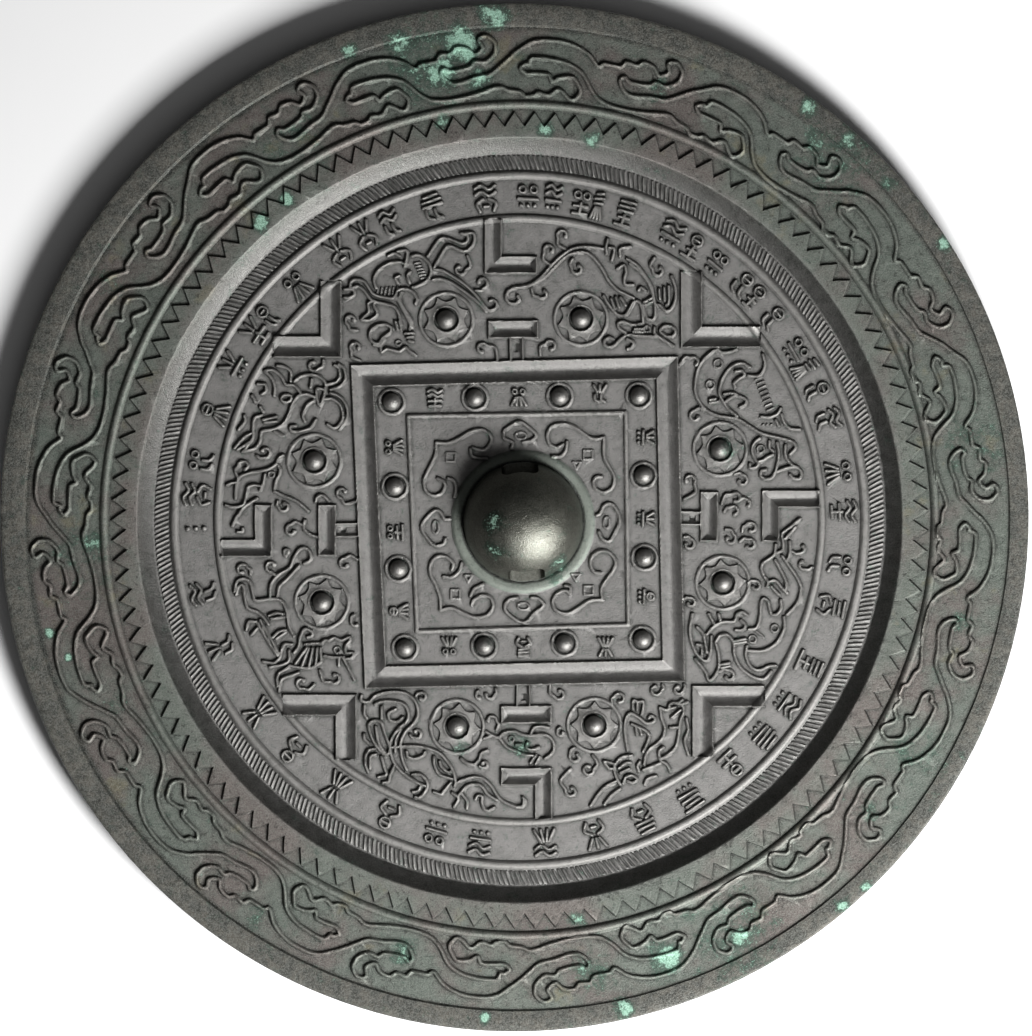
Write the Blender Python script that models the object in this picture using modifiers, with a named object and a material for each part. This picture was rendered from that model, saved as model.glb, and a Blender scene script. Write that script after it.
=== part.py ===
"""A round cast bronze mirror of the TLV pattern, lying on its reflecting face with the decorated back up.

Origin at the bottom centre of the round outline, +Z up out of the decorated back, +Y towards the top
of the design. Every length is in metres, and MM turns a size in millimetres into one.
"""

import math

import bmesh
import bpy
from mathutils import Matrix, Vector

MM = 0.001

# Plate and rim
RIM_RADIUS = 100 * MM
BORDER_TOP = 5.3 * MM
RIM_GROUND = 4.8 * MM
FIELD_TOP = 2.6 * MM
FLAT_RADIUS = 30 * MM
FACE_RISE = 0.8 * MM
EDGE_BEVEL = 0.4 * MM
BORDER_WIDTH = 4.4 * MM
BORDER_SLOPE = 0.4 * MM
BORDER_INNER_RADIUS = RIM_RADIUS - BORDER_WIDTH
TURN_STEPS = 52
FACE_RINGS = 2

# The relief is turned about a centre that is a little off the centre of the outline
RELIEF_CENTRE = (0.97 * MM, -0.52 * MM)
BORDER_CENTRE = (0.5 * MM, -0.15 * MM)

# Slope down from the rim to the field
RIM_WIDTH = 25.5 * MM
WALL_RUN = 3.3 * MM
WALL_TOP_RADIUS = RIM_RADIUS - RIM_WIDTH
WALL_FOOT_RADIUS = WALL_TOP_RADIUS - WALL_RUN

# Plain band on the brink of the slope, with a row of teeth for its outer edge
TEETH = 125
TOOTH_BAND_WIDTH = 2.1 * MM
TOOTH_LENGTH = 2.8 * MM
TOOTH_FOOT_RADIUS = WALL_TOP_RADIUS + TOOTH_BAND_WIDTH
TOOTH_TIP_RADIUS = TOOTH_FOOT_RADIUS + TOOTH_LENGTH
TOOTH_TOP = 5.1 * MM

# Raised rings: half width and height of each, and how far apart they run
RIM_RIDGE = (0.9 * MM, 0.55 * MM)
RIM_RIDGE_GAP = 1.4 * MM
OUTER_RING = (0.9 * MM, 0.6 * MM)
COMB_WIDTH = 4.0 * MM
OUTER_RING_RADIUS = WALL_FOOT_RADIUS - COMB_WIDTH
INNER_RING = (0.8 * MM, 0.5 * MM)
INSCRIPTION_WIDTH = 8.4 * MM

# Cloud scroll, round a middle line between the border and the ridge
SCROLL_REPEATS = 16
SCROLL_PHASE = -5
SCROLL_LINE = (0.5 * MM, 0.42 * MM)
SCROLL_INSET = 8.2 * MM
SCROLL_RADIUS = BORDER_INNER_RADIUS - SCROLL_INSET

# Knob with its cord hole, and the plain ring round it
KNOB_CENTRE = (1.69 * MM, -0.89 * MM)
KNOB_RADIUS = 11.6 * MM
KNOB_HEIGHT = 11.0 * MM
KNOB_RING_WIDTH = 2.2 * MM
KNOB_RING_TOP = 0.5 * MM
KNOB_SIDES = 20
KNOB_STEPS = 4
CORD_HOLE_WIDTH = 7.2 * MM
CORD_HOLE_HEIGHT = 5.4 * MM
CORD_HOLE_LIFT = 0.7 * MM
CORD_HOLE_ROUND = 1.4 * MM
CORD_HOLE_TURN = 3.5
CORD_HOLE_LENGTH = KNOB_RADIUS * 3

# Square frame, a concave band, with a line square inside it
SQUARE_CENTRE = (1.0 * MM, -1.0 * MM)
SQUARE_TURN = 1.7
SQUARE_SIDE = 63.3 * MM
SQUARE_BAND = 4.2 * MM
LINE_SQUARE_SIDE = 42.0 * MM

# T, L and V marks: concave bars with a sharp edge on both sides
MARK_WIDTH = 3.3 * MM
MARK_EDGE_HEIGHT = 0.55 * MM

# Nipples
LARGE_DOME = (1.9 * MM, 1.9 * MM)
LARGE_RING = 2.5 * MM
LARGE_CIRCLE_RADIUS = 5.15 * MM
LARGE_CIRCLE = (0.45 * MM, 0.4 * MM)
SMALL_DOME = (1.75 * MM, 1.6 * MM)
SMALL_RING = 2.4 * MM
NIPPLE_RING = (0.4 * MM, 0.38 * MM)
NIPPLE_SIDES = 8
NIPPLE_SHOULDER = (0.75, 0.66)  # share of the dome's radius and of its height
CIRCLE_SIDES = 12

# Drawn lines of the relief: half width and height of the ridge
DRAWN_LINE = (0.42 * MM, 0.42 * MM)
LINE_SINK = 0.06 * MM  # how far the widest part of a drawn line lies under the ground
VALLEY_HEIGHT = 0.05 * MM  # how far the lowest part of a concave form stands over the field
ROOT = 0.6 * MM  # how far every raised form reaches down into the metal under it


def move_to(obj, name):
    """Puts an object into the named collection only, making the collection when it is new."""
    collection = bpy.data.collections.get(name)
    if collection is None:
        collection = bpy.data.collections.new(name)
        bpy.context.scene.collection.children.link(collection)
    for old in list(obj.users_collection):
        old.objects.unlink(obj)
    collection.objects.link(obj)


def helper(name, mesh):
    """An object that only cuts or joins: it is left out of the render."""
    obj = bpy.data.objects.new(name, mesh)
    bpy.context.scene.collection.objects.link(obj)
    move_to(obj, "Mirror helpers")
    obj.hide_render = True
    obj.display_type = "WIRE"
    return obj


def mesh_of(obj):
    """The evaluated mesh of an object in world space, with the object itself removed."""
    bpy.context.view_layer.update()
    evaluated = obj.evaluated_get(bpy.context.evaluated_depsgraph_get())
    mesh = bpy.data.meshes.new_from_object(evaluated)
    mesh.transform(obj.matrix_world)
    bpy.data.objects.remove(obj)
    work = bmesh.new()
    work.from_mesh(mesh)
    bmesh.ops.remove_doubles(work, verts=work.verts, dist=0.000001)
    bmesh.ops.recalc_face_normals(work, faces=work.faces)
    work.to_mesh(mesh)
    work.free()
    return mesh


def turned(name, profile, centre=(0, 0), closed=False, steps=TURN_STEPS):
    """Turns a profile of (radius, height) points about the vertical axis through centre."""
    mesh = bpy.data.meshes.new(name)
    ends = list(range(len(profile)))
    edges = list(zip(ends[:-1], ends[1:]))
    if closed:
        edges.append((ends[-1], 0))
    mesh.from_pydata([(radius, 0, height) for radius, height in profile], edges, [])
    obj = bpy.data.objects.new(name, mesh)
    bpy.context.scene.collection.objects.link(obj)
    obj.location = (centre[0], centre[1], 0)
    screw = obj.modifiers.new("Turn", "SCREW")
    screw.axis = "Z"
    screw.steps = steps
    screw.render_steps = steps
    screw.use_merge_vertices = True
    screw.merge_threshold = 0.00001
    return helper(name, mesh_of(obj))


def turned_ring(name, radius, size, ground, centre, steps=TURN_STEPS):
    """A low ridge with a sharp back that runs round in a circle, rooted below the ground."""
    half_width, height = size
    foot = half_width * (height + ROOT) / height
    profile = [
        (radius, ground + height),
        (radius + foot, ground - ROOT),
        (radius - foot, ground - ROOT),
    ]
    return turned(name, profile, centre, closed=True, steps=steps)


def combine(body, other, operation):
    """Joins the other object to the body, or cuts it out, and removes it."""
    boolean = body.modifiers.new(other.name, "BOOLEAN")
    boolean.operation = operation
    boolean.solver = "MANIFOLD"
    boolean.object = other
    bpy.context.view_layer.update()
    evaluated = body.evaluated_get(bpy.context.evaluated_depsgraph_get())
    mesh = bpy.data.meshes.new_from_object(evaluated)
    body.modifiers.clear()
    body.data = mesh
    bpy.data.objects.remove(other)


def prism(name, outline, low, high):
    """An upright prism on a flat outline of (x, y) points that runs anticlockwise."""
    work = bmesh.new()
    base = work.faces.new([work.verts.new((x, y, low)) for x, y in outline])
    top = bmesh.ops.extrude_face_region(work, geom=[base])["geom"]
    lifted = [item for item in top if isinstance(item, bmesh.types.BMVert)]
    bmesh.ops.translate(work, verts=lifted, vec=(0, 0, high - low))
    bmesh.ops.recalc_face_normals(work, faces=work.faces)
    mesh = bpy.data.meshes.new(name)
    work.to_mesh(mesh)
    work.free()
    return helper(name, mesh)


def face_height(radius):
    """Height of the slightly convex reflecting face over the table, flat in the middle."""
    share = max(0, radius - FLAT_RADIUS) / (RIM_RADIUS - FLAT_RADIUS)
    return FACE_RISE * share * share


def plate():
    """The disc up to the ground of the rim, with the convex face below and the high border."""
    below = [
        FLAT_RADIUS + (RIM_RADIUS - EDGE_BEVEL - FLAT_RADIUS) * step / FACE_RINGS
        for step in range(FACE_RINGS, -1, -1)
    ]
    profile = [
        (0, BORDER_TOP),
        (RIM_RADIUS - EDGE_BEVEL, BORDER_TOP),
        (RIM_RADIUS, BORDER_TOP - EDGE_BEVEL),
        (RIM_RADIUS, FACE_RISE + EDGE_BEVEL),
    ]
    profile += [(radius, face_height(radius)) for radius in below]
    profile.append((0, 0))
    return turned("bronze_mirror", profile)


def rim_recess():
    """What is cut away inside the border, down to the ground of the scroll band."""
    above = BORDER_TOP + ROOT
    profile = [
        (0, above),
        (BORDER_INNER_RADIUS + BORDER_SLOPE, above),
        (BORDER_INNER_RADIUS + BORDER_SLOPE, BORDER_TOP),
        (BORDER_INNER_RADIUS, RIM_GROUND),
        (0, RIM_GROUND),
    ]
    return turned("rim_recess", profile, BORDER_CENTRE)


def field_recess():
    """What is cut away inside the rim, down the slope to the flat field."""
    above = BORDER_TOP + ROOT
    slope = (WALL_TOP_RADIUS - WALL_FOOT_RADIUS) / (TOOTH_TOP - FIELD_TOP)
    profile = [
        (0, above),
        (WALL_TOP_RADIUS + slope * (above - TOOTH_TOP), above),
        (WALL_FOOT_RADIUS, FIELD_TOP),
        (0, FIELD_TOP),
    ]
    return turned("field_recess", profile, RELIEF_CENTRE)


def sawtooth():
    """The raised plain band whose outer edge is a row of teeth that point outwards."""
    outline = [
        on_circle(360 * (tooth + share) / TEETH, radius)
        for tooth in range(TEETH)
        for share, radius in ((0, TOOTH_FOOT_RADIUS), (0.5, TOOTH_TIP_RADIUS))
    ]
    return prism("sawtooth", outline, RIM_GROUND - ROOT, TOOTH_TOP)


def raised_rings():
    """The ridge outside the teeth, and the rings on both sides of the inscription."""
    ridge_radius = TOOTH_TIP_RADIUS + RIM_RIDGE_GAP
    inner_radius = OUTER_RING_RADIUS - INSCRIPTION_WIDTH
    return [
        turned_ring("rim_ridge", ridge_radius, RIM_RIDGE, RIM_GROUND, RELIEF_CENTRE),
        turned_ring("outer_ring", OUTER_RING_RADIUS, OUTER_RING, FIELD_TOP, RELIEF_CENTRE),
        turned_ring("inner_ring", inner_radius, INNER_RING, FIELD_TOP, RELIEF_CENTRE),
    ]


def ridge_line(name, points, ground, line_size, closed=False):
    """One raised line with a sharp back, along (x, y) points on the ground."""
    half_width, height = line_size
    curve = bpy.data.curves.new(name, "CURVE")
    curve.dimensions = "3D"
    curve.twist_mode = "Z_UP"
    curve.bevel_depth = half_width
    curve.bevel_resolution = 0
    curve.use_fill_caps = not closed
    spline = curve.splines.new("POLY")
    spline.points.add(len(points) - 1)
    for point, (x, y) in zip(spline.points, points):
        point.co = (x, y, 0, 1)
    spline.use_cyclic_u = closed
    obj = bpy.data.objects.new(name, curve)
    bpy.context.scene.collection.objects.link(obj)
    obj.scale = (1, 1, (height + LINE_SINK) / half_width)
    obj.location = (0, 0, ground - LINE_SINK)
    mesh = mesh_of(obj)
    bpy.data.curves.remove(curve)
    return helper(name, mesh)


def on_circle(degrees, radius):
    """The point at an angle and a radius about the centre of the relief."""
    angle = math.radians(degrees)
    return (
        RELIEF_CENTRE[0] + radius * math.cos(angle),
        RELIEF_CENTRE[1] + radius * math.sin(angle),
    )


def in_mm(points):
    """Points given in millimetres, in metres."""
    return [(x * MM, y * MM) for x, y in points]


# One wave of each line of the scroll: share of the repeat, and mm out from the middle line
SCROLL_OUTER = (
    (0.0, 4.8), (0.13, 4.2), (0.25, 1.6), (0.42, 2.4), (0.60, 4.8),
    (0.66, 2.2), (0.52, -0.8), (0.72, -0.4),
)
SCROLL_INNER = (
    (-0.10, 0.0), (0.06, 0.8), (0.22, -3.0), (0.40, -4.8), (0.66, -3.8),
    (1.06, -5.0), (1.06, -2.5),
)


def cloud_scroll():
    """The scroll that runs round the rim between two raised lines, one wave after another."""
    step = 360 / SCROLL_REPEATS
    made = []
    for name, line in (("scroll_outer", SCROLL_OUTER), ("scroll_inner", SCROLL_INNER)):
        points = [
            on_circle(SCROLL_PHASE - (repeat + share) * step, SCROLL_RADIUS + out * MM)
            for repeat in range(SCROLL_REPEATS)
            for share, out in line
        ]
        made.append(ridge_line(name, points, RIM_GROUND, SCROLL_LINE, closed=True))
    return made


def channel(name, path, width, closed=False):
    """A concave bar along a path of (x, y) corners, mitred where it turns."""
    count = len(path)
    corners = [Vector(point) for point in path]
    sections = []
    for index, corner in enumerate(corners):
        before = corners[index - 1] if closed or index else None
        after = corners[(index + 1) % count] if closed or index < count - 1 else None
        along = [
            (end - start).normalized()
            for start, end in ((before, corner), (corner, after))
            if start is not None and end is not None
        ]
        sides = [Vector((-direction.y, direction.x)) for direction in along]
        side = sum(sides, Vector((0, 0))).normalized()
        side /= side.dot(sides[0])
        left = corner + side * width / 2
        right = corner - side * width / 2
        sections.append(
            [
                (left, -ROOT),
                (right, -ROOT),
                (right, MARK_EDGE_HEIGHT),
                (corner, VALLEY_HEIGHT),
                (left, MARK_EDGE_HEIGHT),
            ]
        )
    work = bmesh.new()
    loops = [
        [work.verts.new((point.x, point.y, FIELD_TOP + height)) for point, height in section]
        for section in sections
    ]
    pairs = list(zip(loops, loops[1:] + loops[:1]))
    for first, second in pairs if closed else pairs[:-1]:
        for index in range(len(first)):
            following = (index + 1) % len(first)
            work.faces.new((first[index], first[following], second[following], second[index]))
    if not closed:
        work.faces.new(loops[0])
        work.faces.new(reversed(loops[-1]))
    bmesh.ops.recalc_face_normals(work, faces=work.faces)
    mesh = bpy.data.meshes.new(name)
    work.to_mesh(mesh)
    work.free()
    return helper(name, mesh)


def square_corners(side):
    """The corners of a square about the design's centre, anticlockwise, turned as it is."""
    turn = Matrix.Rotation(math.radians(SQUARE_TURN), 2)
    half = side / 2
    corners = []
    for across, up in ((-1, -1), (1, -1), (1, 1), (-1, 1)):
        corner = turn @ Vector((across * half, up * half))
        corners.append((SQUARE_CENTRE[0] + corner.x, SQUARE_CENTRE[1] + corner.y))
    return corners


def square_frame():
    """The concave band and the line square inside it."""
    band = channel(
        "square_band", square_corners(SQUARE_SIDE - SQUARE_BAND), SQUARE_BAND, closed=True
    )
    line = ridge_line(
        "line_square", square_corners(LINE_SQUARE_SIDE), FIELD_TOP, DRAWN_LINE, closed=True
    )
    return [band, line]


# Middle lines of the marks in mm: crossbar and stem of each T, then each L and each V
T_MARKS = (
    ((-5.0, 36.4), (4.5, 36.6), (0.2, 34.6), (0.3, 31.0)),
    ((-36.5, -7.4), (-36.5, 2.2), (-34.6, -2.6), (-31.0, -2.5)),
    ((37.9, 4.9), (37.8, -4.6), (36.2, 0.0), (32.6, 0.1)),
    ((-2.6, -38.5), (7.2, -38.3), (2.0, -36.4), (2.0, -33.2)),
)
L_MARKS = (
    ((-4.2, 57.0), (-4.2, 49.0), (4.4, 49.1)),
    ((-56.4, -6.0), (-48.9, -6.0), (-48.9, 2.2)),
    ((58.4, 3.3), (49.8, 3.3), (49.8, -4.6)),
    ((-2.4, -50.8), (5.6, -50.7), (5.6, -58.0)),
)
V_MARKS = (
    ((-46.0, 32.9), (-35.7, 32.9), (-35.7, 44.2)),
    ((34.3, 46.6), (34.2, 35.0), (46.8, 35.2)),
    ((-44.4, -36.4), (-32.7, -36.4), (-32.7, -46.0)),
    ((36.6, -45.4), (36.6, -34.8), (47.4, -34.8)),
)


def marks():
    """The T, L and V marks of the pattern."""
    made = []
    for index, (left, right, stem_top, stem_foot) in enumerate(T_MARKS):
        made.append(channel(f"t_bar_{index}", in_mm((left, right)), MARK_WIDTH))
        made.append(channel(f"t_stem_{index}", in_mm((stem_top, stem_foot)), MARK_WIDTH))
    for index, path in enumerate(L_MARKS + V_MARKS):
        made.append(channel(f"angle_mark_{index}", in_mm(path), MARK_WIDTH))
    return made


# Centres of the nipples in mm
LARGE_NIPPLES = (
    (-13.3, 38.5), (12.9, 38.7), (40.0, 13.3), (40.5, -12.7),
    (15.5, -40.4), (-11.2, -40.7), (-37.5, -16.5), (-39.0, 11.0),
)
SMALL_NIPPLES = (
    (-23.9, 22.5), (-7.7, 23.3), (8.8, 23.6), (24.2, 23.7), (25.1, 8.2), (25.3, -7.8),
    (24.9, -23.7), (9.7, -24.5), (-5.9, -25.0), (-21.3, -25.4), (-22.6, -10.0), (-23.3, 6.0),
)


def nipple(name, centre, size, ring_radius):
    """A dome in a ring, turned in one piece."""
    radius, height = size
    ring_half, ring_height = NIPPLE_RING
    foot = ring_radius + ring_half * (ring_height + ROOT) / ring_height
    profile = [
        (0, FIELD_TOP + height),
        (radius * NIPPLE_SHOULDER[0], FIELD_TOP + height * NIPPLE_SHOULDER[1]),
        (radius, FIELD_TOP + VALLEY_HEIGHT),
        (ring_radius, FIELD_TOP + ring_height),
        (foot, FIELD_TOP - ROOT),
        (0, FIELD_TOP - ROOT),
    ]
    return turned(name, profile, centre, steps=NIPPLE_SIDES)


def nipples():
    """The eight large nipples, each in a wide circle, and the twelve small ones."""
    made = []
    for index, centre in enumerate(in_mm(LARGE_NIPPLES)):
        made.append(nipple(f"large_nipple_{index}", centre, LARGE_DOME, LARGE_RING))
        made.append(
            turned_ring(
                f"large_circle_{index}", LARGE_CIRCLE_RADIUS, LARGE_CIRCLE, FIELD_TOP, centre, CIRCLE_SIDES
            )
        )
    for index, centre in enumerate(in_mm(SMALL_NIPPLES)):
        made.append(nipple(f"small_nipple_{index}", centre, SMALL_DOME, SMALL_RING))
    return made


# The main lines of the eight figures, the beasts and birds between the marks, in mm
FIGURES = {
    "winding_beast": (
        ((-16.9, 50.8), (-14.4, 54.2), (-10.3, 53.3), (-9.2, 54.9)),
        ((-27.0, 44.7), (-27.0, 47.4), (-24.6, 49.4), (-22.0, 49.6)),
        ((-19.9, 50.9), (-17.0, 49.9), (-16.8, 46.6), (-19.9, 44.8)),
        ((-15.7, 48.3), (-11.5, 46.6), (-7.4, 43.1), (-4.9, 40.3), (-3.6, 41.6)),
        ((-31.5, 44.7), (-27.8, 42.3), (-24.0, 41.3), (-22.3, 38.4)),
        ((-23.0, 42.8), (-21.2, 44.3), (-19.2, 42.5), (-20.3, 37.5)),
        ((-24.2, 37.2), (-27.1, 37.0), (-27.7, 34.4), (-25.4, 35.0), (-24.2, 37.2)),
    ),
    "long_tailed_bird": (
        ((0.0, 44.7), (3.4, 45.6), (7.2, 49.1), (11.3, 52.3), (17.0, 52.3)),
        ((6.0, 46.4), (9.9, 50.2), (13.8, 51.2), (17.2, 48.1), (20.3, 44.1), (23.1, 42.7)),
        ((21.9, 50.3), (25.3, 47.2), (27.0, 43.1), (26.6, 38.8)),
        ((17.3, 43.1), (20.8, 39.4), (24.0, 41.6), (24.8, 38.3)),
        ((28.0, 41.2), (29.8, 40.6), (31.2, 43.2), (30.5, 46.9)),
        ((18.4, 33.4), (22.0, 35.2), (27.8, 35.2)),
    ),
    "serpent": (
        ((39.2, 32.4), (35.6, 28.6), (36.0, 22.9), (42.0, 19.4), (48.0, 16.4), (54.7, 14.0)),
        ((45.8, 29.2), (42.4, 29.3), (40.1, 25.4), (43.3, 20.9)),
        ((48.3, 31.7), (48.5, 29.0), (45.5, 27.6)),
        ((51.1, 13.6), (51.0, 9.8), (48.9, 7.8)),
    ),
    "winged_figure": (
        ((54.6, -1.2), (52.1, -3.4), (52.2, -6.0)),
        ((50.5, -7.3), (48.2, -9.9), (49.1, -13.4)),
        ((52.6, -8.0), (54.9, -11.9), (55.0, -16.3), (53.0, -18.7)),
        ((50.4, -18.8), (48.5, -15.8), (47.8, -18.8), (45.5, -21.8)),
        ((52.4, -19.9), (51.4, -23.3), (48.3, -25.7), (45.5, -25.9)),
        ((42.7, -25.0), (44.2, -29.1), (48.2, -31.0)),
        ((37.4, -22.8), (40.5, -20.3), (44.9, -18.9)),
        ((39.1, -24.4), (39.5, -29.1), (37.6, -31.0), (35.0, -26.5), (34.1, -21.9)),
    ),
    "dancing_figures": (
        ((22.0, -45.3), (21.5, -40.6), (22.8, -38.3), (26.6, -39.9)),
        (
            (25.2, -48.1), (26.3, -45.0), (29.0, -41.4), (28.4, -37.3), (31.6, -36.4), (32.0, -40.7),
            (29.7, -45.9),
        ),
        ((22.8, -46.5), (19.9, -47.9), (20.5, -51.7)),
        ((0.0, -41.6), (5.3, -42.2), (7.5, -44.4), (5.9, -46.7)),
    ),
    "tortoise_and_snake": (
        ((-28.1, -35.6), (-25.3, -34.1), (-20.6, -34.7), (-19.0, -38.1), (-22.1, -43.0)),
        ((-26.9, -37.0), (-23.4, -36.2), (-21.4, -38.0), (-24.0, -42.8), (-23.7, -47.2), (-20.6, -50.6)),
        ((-22.6, -44.7), (-18.0, -44.5), (-14.0, -46.5), (-11.9, -50.6)),
        ((-28.2, -40.3), (-26.0, -40.2), (-24.6, -44.8), (-27.0, -43.9), (-28.2, -40.3)),
        ((-10.9, -51.4), (-7.8, -50.5), (-4.8, -52.2), (-2.6, -54.6)),
    ),
    "tiger": (
        ((-40.4, -8.6), (-40.7, -6.3), (-43.6, -9.7), (-47.2, -12.9), (-47.6, -15.2)),
        ((-54.5, -14.4), (-52.4, -12.2), (-50.4, -16.1), (-45.8, -16.2), (-43.2, -22.6)),
        ((-50.1, -18.4), (-47.6, -24.3), (-46.3, -26.4)),
        ((-43.9, -28.8), (-39.5, -29.1), (-37.7, -27.7)),
        ((-37.5, -24.6), (-35.1, -23.6), (-32.4, -23.8), (-32.8, -26.3)),
    ),
    "horned_dragon": (
        ((-38.9, 23.4), (-42.6, 22.9), (-45.4, 17.9), (-49.3, 16.1), (-52.9, 12.8)),
        ((-42.6, 26.7), (-38.8, 27.5), (-37.1, 24.9), (-38.0, 22.6)),
        ((-37.0, 22.3), (-34.0, 20.8), (-35.6, 17.6)),
        ((-48.6, 28.5), (-45.4, 27.2), (-43.2, 24.7)),
        ((-47.0, 9.8), (-51.7, 8.7), (-54.0, 5.9), (-54.2, 3.7)),
        ((-46.1, 9.2), (-46.5, 5.8), (-42.9, 3.4)),
    ),
}

# The edge of each leaf of the inner square, from one curl round the tip to the other, in mm
LEAVES = (
    (
        (-6.6, 13.7), (-4.9, 15.3), (-6.5, 16.9), (-11.4, 15.0), (-15.1, 14.5), (-15.6, 11.6),
        (-17.3, 7.0), (-15.6, 4.9), (-14.0, 6.4),
    ),
    (
        (8.7, 14.0), (6.8, 15.9), (9.6, 17.9), (13.9, 15.9), (17.2, 15.4), (17.5, 11.6),
        (19.1, 7.5), (17.1, 5.3), (15.7, 7.0),
    ),
    (
        (16.2, -10.2), (15.1, -8.3), (17.6, -6.9), (19.2, -9.3), (17.3, -12.7), (16.8, -15.7),
        (12.8, -17.3), (9.3, -18.3), (7.9, -16.1), (9.6, -14.7),
    ),
    (
        (-7.4, -16.6), (-5.4, -15.7), (-5.0, -18.3), (-8.0, -19.0), (-12.2, -17.9), (-14.4, -17.8),
        (-15.0, -14.1), (-16.1, -9.9), (-14.1, -8.0), (-12.6, -9.8),
    ),
)

# Pointed buds between the leaves: their tips and size in mm, and their edge as shares of that size
BUD_TIPS = ((1.0, 18.6), (20.5, -0.7), (1.7, -20.5), (-18.1, -1.8))
BUD_WIDTH = 6.0
BUD_LENGTH = 4.6
BUD_EDGE = ((0.85, -0.4), (0.45, -0.5), (0, 0), (0.45, 0.5), (0.85, 0.4))


def buds():
    """The four pointed buds between the leaves, each drawn by one line."""
    lines = []
    for tip_x, tip_y in BUD_TIPS:
        tip = Vector((tip_x, tip_y))
        inward = (Vector(SQUARE_CENTRE) / MM - tip).normalized()
        side = Vector((-inward.y, inward.x))
        points = [
            tip + inward * BUD_LENGTH * along + side * BUD_WIDTH * across
            for along, across in BUD_EDGE
        ]
        lines.append([(point.x, point.y) for point in points])
    return lines


def drawn_relief():
    """The figures, leaves and buds as raised lines on the field."""
    lines = [line for figure in FIGURES.values() for line in figure]
    lines += list(LEAVES) + buds()
    made = []
    for index, line in enumerate(lines):
        closed = line[0] == line[-1]
        points = in_mm(line[:-1] if closed else line)
        made.append(ridge_line(f"drawn_line_{index}", points, FIELD_TOP, DRAWN_LINE, closed))
    return made


def knob():
    """The half-ball knob and the plain ring it stands in, turned in one piece."""
    profile = [(0, FIELD_TOP + KNOB_HEIGHT)]
    for step in range(1, KNOB_STEPS):
        angle = math.radians(90 * step / KNOB_STEPS)
        profile.append(
            (KNOB_RADIUS * math.sin(angle), FIELD_TOP + KNOB_HEIGHT * math.cos(angle))
        )
    half_width = KNOB_RING_WIDTH / 2
    profile += [
        (KNOB_RADIUS, FIELD_TOP + VALLEY_HEIGHT),
        (KNOB_RADIUS + half_width, FIELD_TOP + KNOB_RING_TOP),
        (KNOB_RADIUS + half_width * (2 + ROOT / KNOB_RING_TOP), FIELD_TOP - ROOT),
        (0, FIELD_TOP - ROOT),
    ]
    return turned("knob", profile, KNOB_CENTRE, steps=KNOB_SIDES)


def cord_hole():
    """The tunnel through the knob, as a bar with rounded edges that is cut out."""
    work = bmesh.new()
    bmesh.ops.create_cube(work, size=1)
    size = Matrix.Diagonal((CORD_HOLE_WIDTH, CORD_HOLE_LENGTH, CORD_HOLE_HEIGHT, 1))
    bmesh.ops.transform(work, matrix=size, verts=work.verts)
    long_edges = [
        edge for edge in work.edges
        if abs(edge.verts[0].co.y - edge.verts[1].co.y) > KNOB_RADIUS
    ]
    bmesh.ops.bevel(
        work, geom=long_edges, offset=CORD_HOLE_ROUND, segments=2, affect="EDGES", profile=0.5
    )
    mesh = bpy.data.meshes.new("cord_hole")
    work.to_mesh(mesh)
    work.free()
    middle = FIELD_TOP + CORD_HOLE_LIFT + CORD_HOLE_HEIGHT / 2
    place = Matrix.Translation((KNOB_CENTRE[0], KNOB_CENTRE[1], middle))
    mesh.transform(place @ Matrix.Rotation(math.radians(CORD_HOLE_TURN), 4, "Z"))
    return helper("cord_hole", mesh)


def bronze():
    """Dark bronze with a thin grey-green patina."""
    material = bpy.data.materials.new("Bronze")
    material.use_nodes = True
    shader = material.node_tree.nodes["Principled BSDF"]
    shader.inputs["Base Color"].default_value = (0.13, 0.125, 0.11, 1)
    shader.inputs["Roughness"].default_value = 0.45
    shader.inputs["Metallic"].default_value = 0.7
    return material


def main():
    for obj in list(bpy.data.objects):
        bpy.data.objects.remove(obj)
    body = plate()
    combine(body, rim_recess(), "DIFFERENCE")
    combine(body, sawtooth(), "UNION")
    combine(body, field_recess(), "DIFFERENCE")
    relief = raised_rings() + cloud_scroll() + square_frame() + marks() + nipples()
    for piece in relief + drawn_relief() + [knob()]:
        combine(body, piece, "UNION")
    combine(body, cord_hole(), "DIFFERENCE")
    body.hide_render = False
    body.display_type = "TEXTURED"
    body.name = "bronze_mirror"
    move_to(body, "Bronze mirror")
    body.data.materials.clear()
    body.data.materials.append(bronze())
    body.data.shade_smooth()
    body.data.set_sharp_from_angle(angle=math.radians(30))


main()
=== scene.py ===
"""The look of the bronze mirror: the relief of its back as one mesh, its metal and patina, and the studio.

Lengths in this file are in millimetres, measured from the bottom centre of the outline with +Y towards
the top of the design. The finished mesh is scaled to metres.
"""

import math
import random

import bpy
import numpy as np
from mathutils import Matrix, Vector


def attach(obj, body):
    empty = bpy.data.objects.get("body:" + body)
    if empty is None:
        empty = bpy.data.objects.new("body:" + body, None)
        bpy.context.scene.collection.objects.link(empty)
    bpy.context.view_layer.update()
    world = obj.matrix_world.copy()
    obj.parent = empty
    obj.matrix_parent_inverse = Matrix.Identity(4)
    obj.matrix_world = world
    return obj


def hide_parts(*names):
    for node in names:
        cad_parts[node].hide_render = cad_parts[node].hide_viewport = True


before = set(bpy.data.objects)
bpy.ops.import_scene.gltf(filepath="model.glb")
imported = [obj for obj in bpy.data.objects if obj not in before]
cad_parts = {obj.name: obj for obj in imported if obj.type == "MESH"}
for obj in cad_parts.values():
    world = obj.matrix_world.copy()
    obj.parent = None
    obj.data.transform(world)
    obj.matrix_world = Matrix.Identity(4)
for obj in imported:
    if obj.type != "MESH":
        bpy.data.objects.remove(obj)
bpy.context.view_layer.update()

METRES = 0.001

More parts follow.
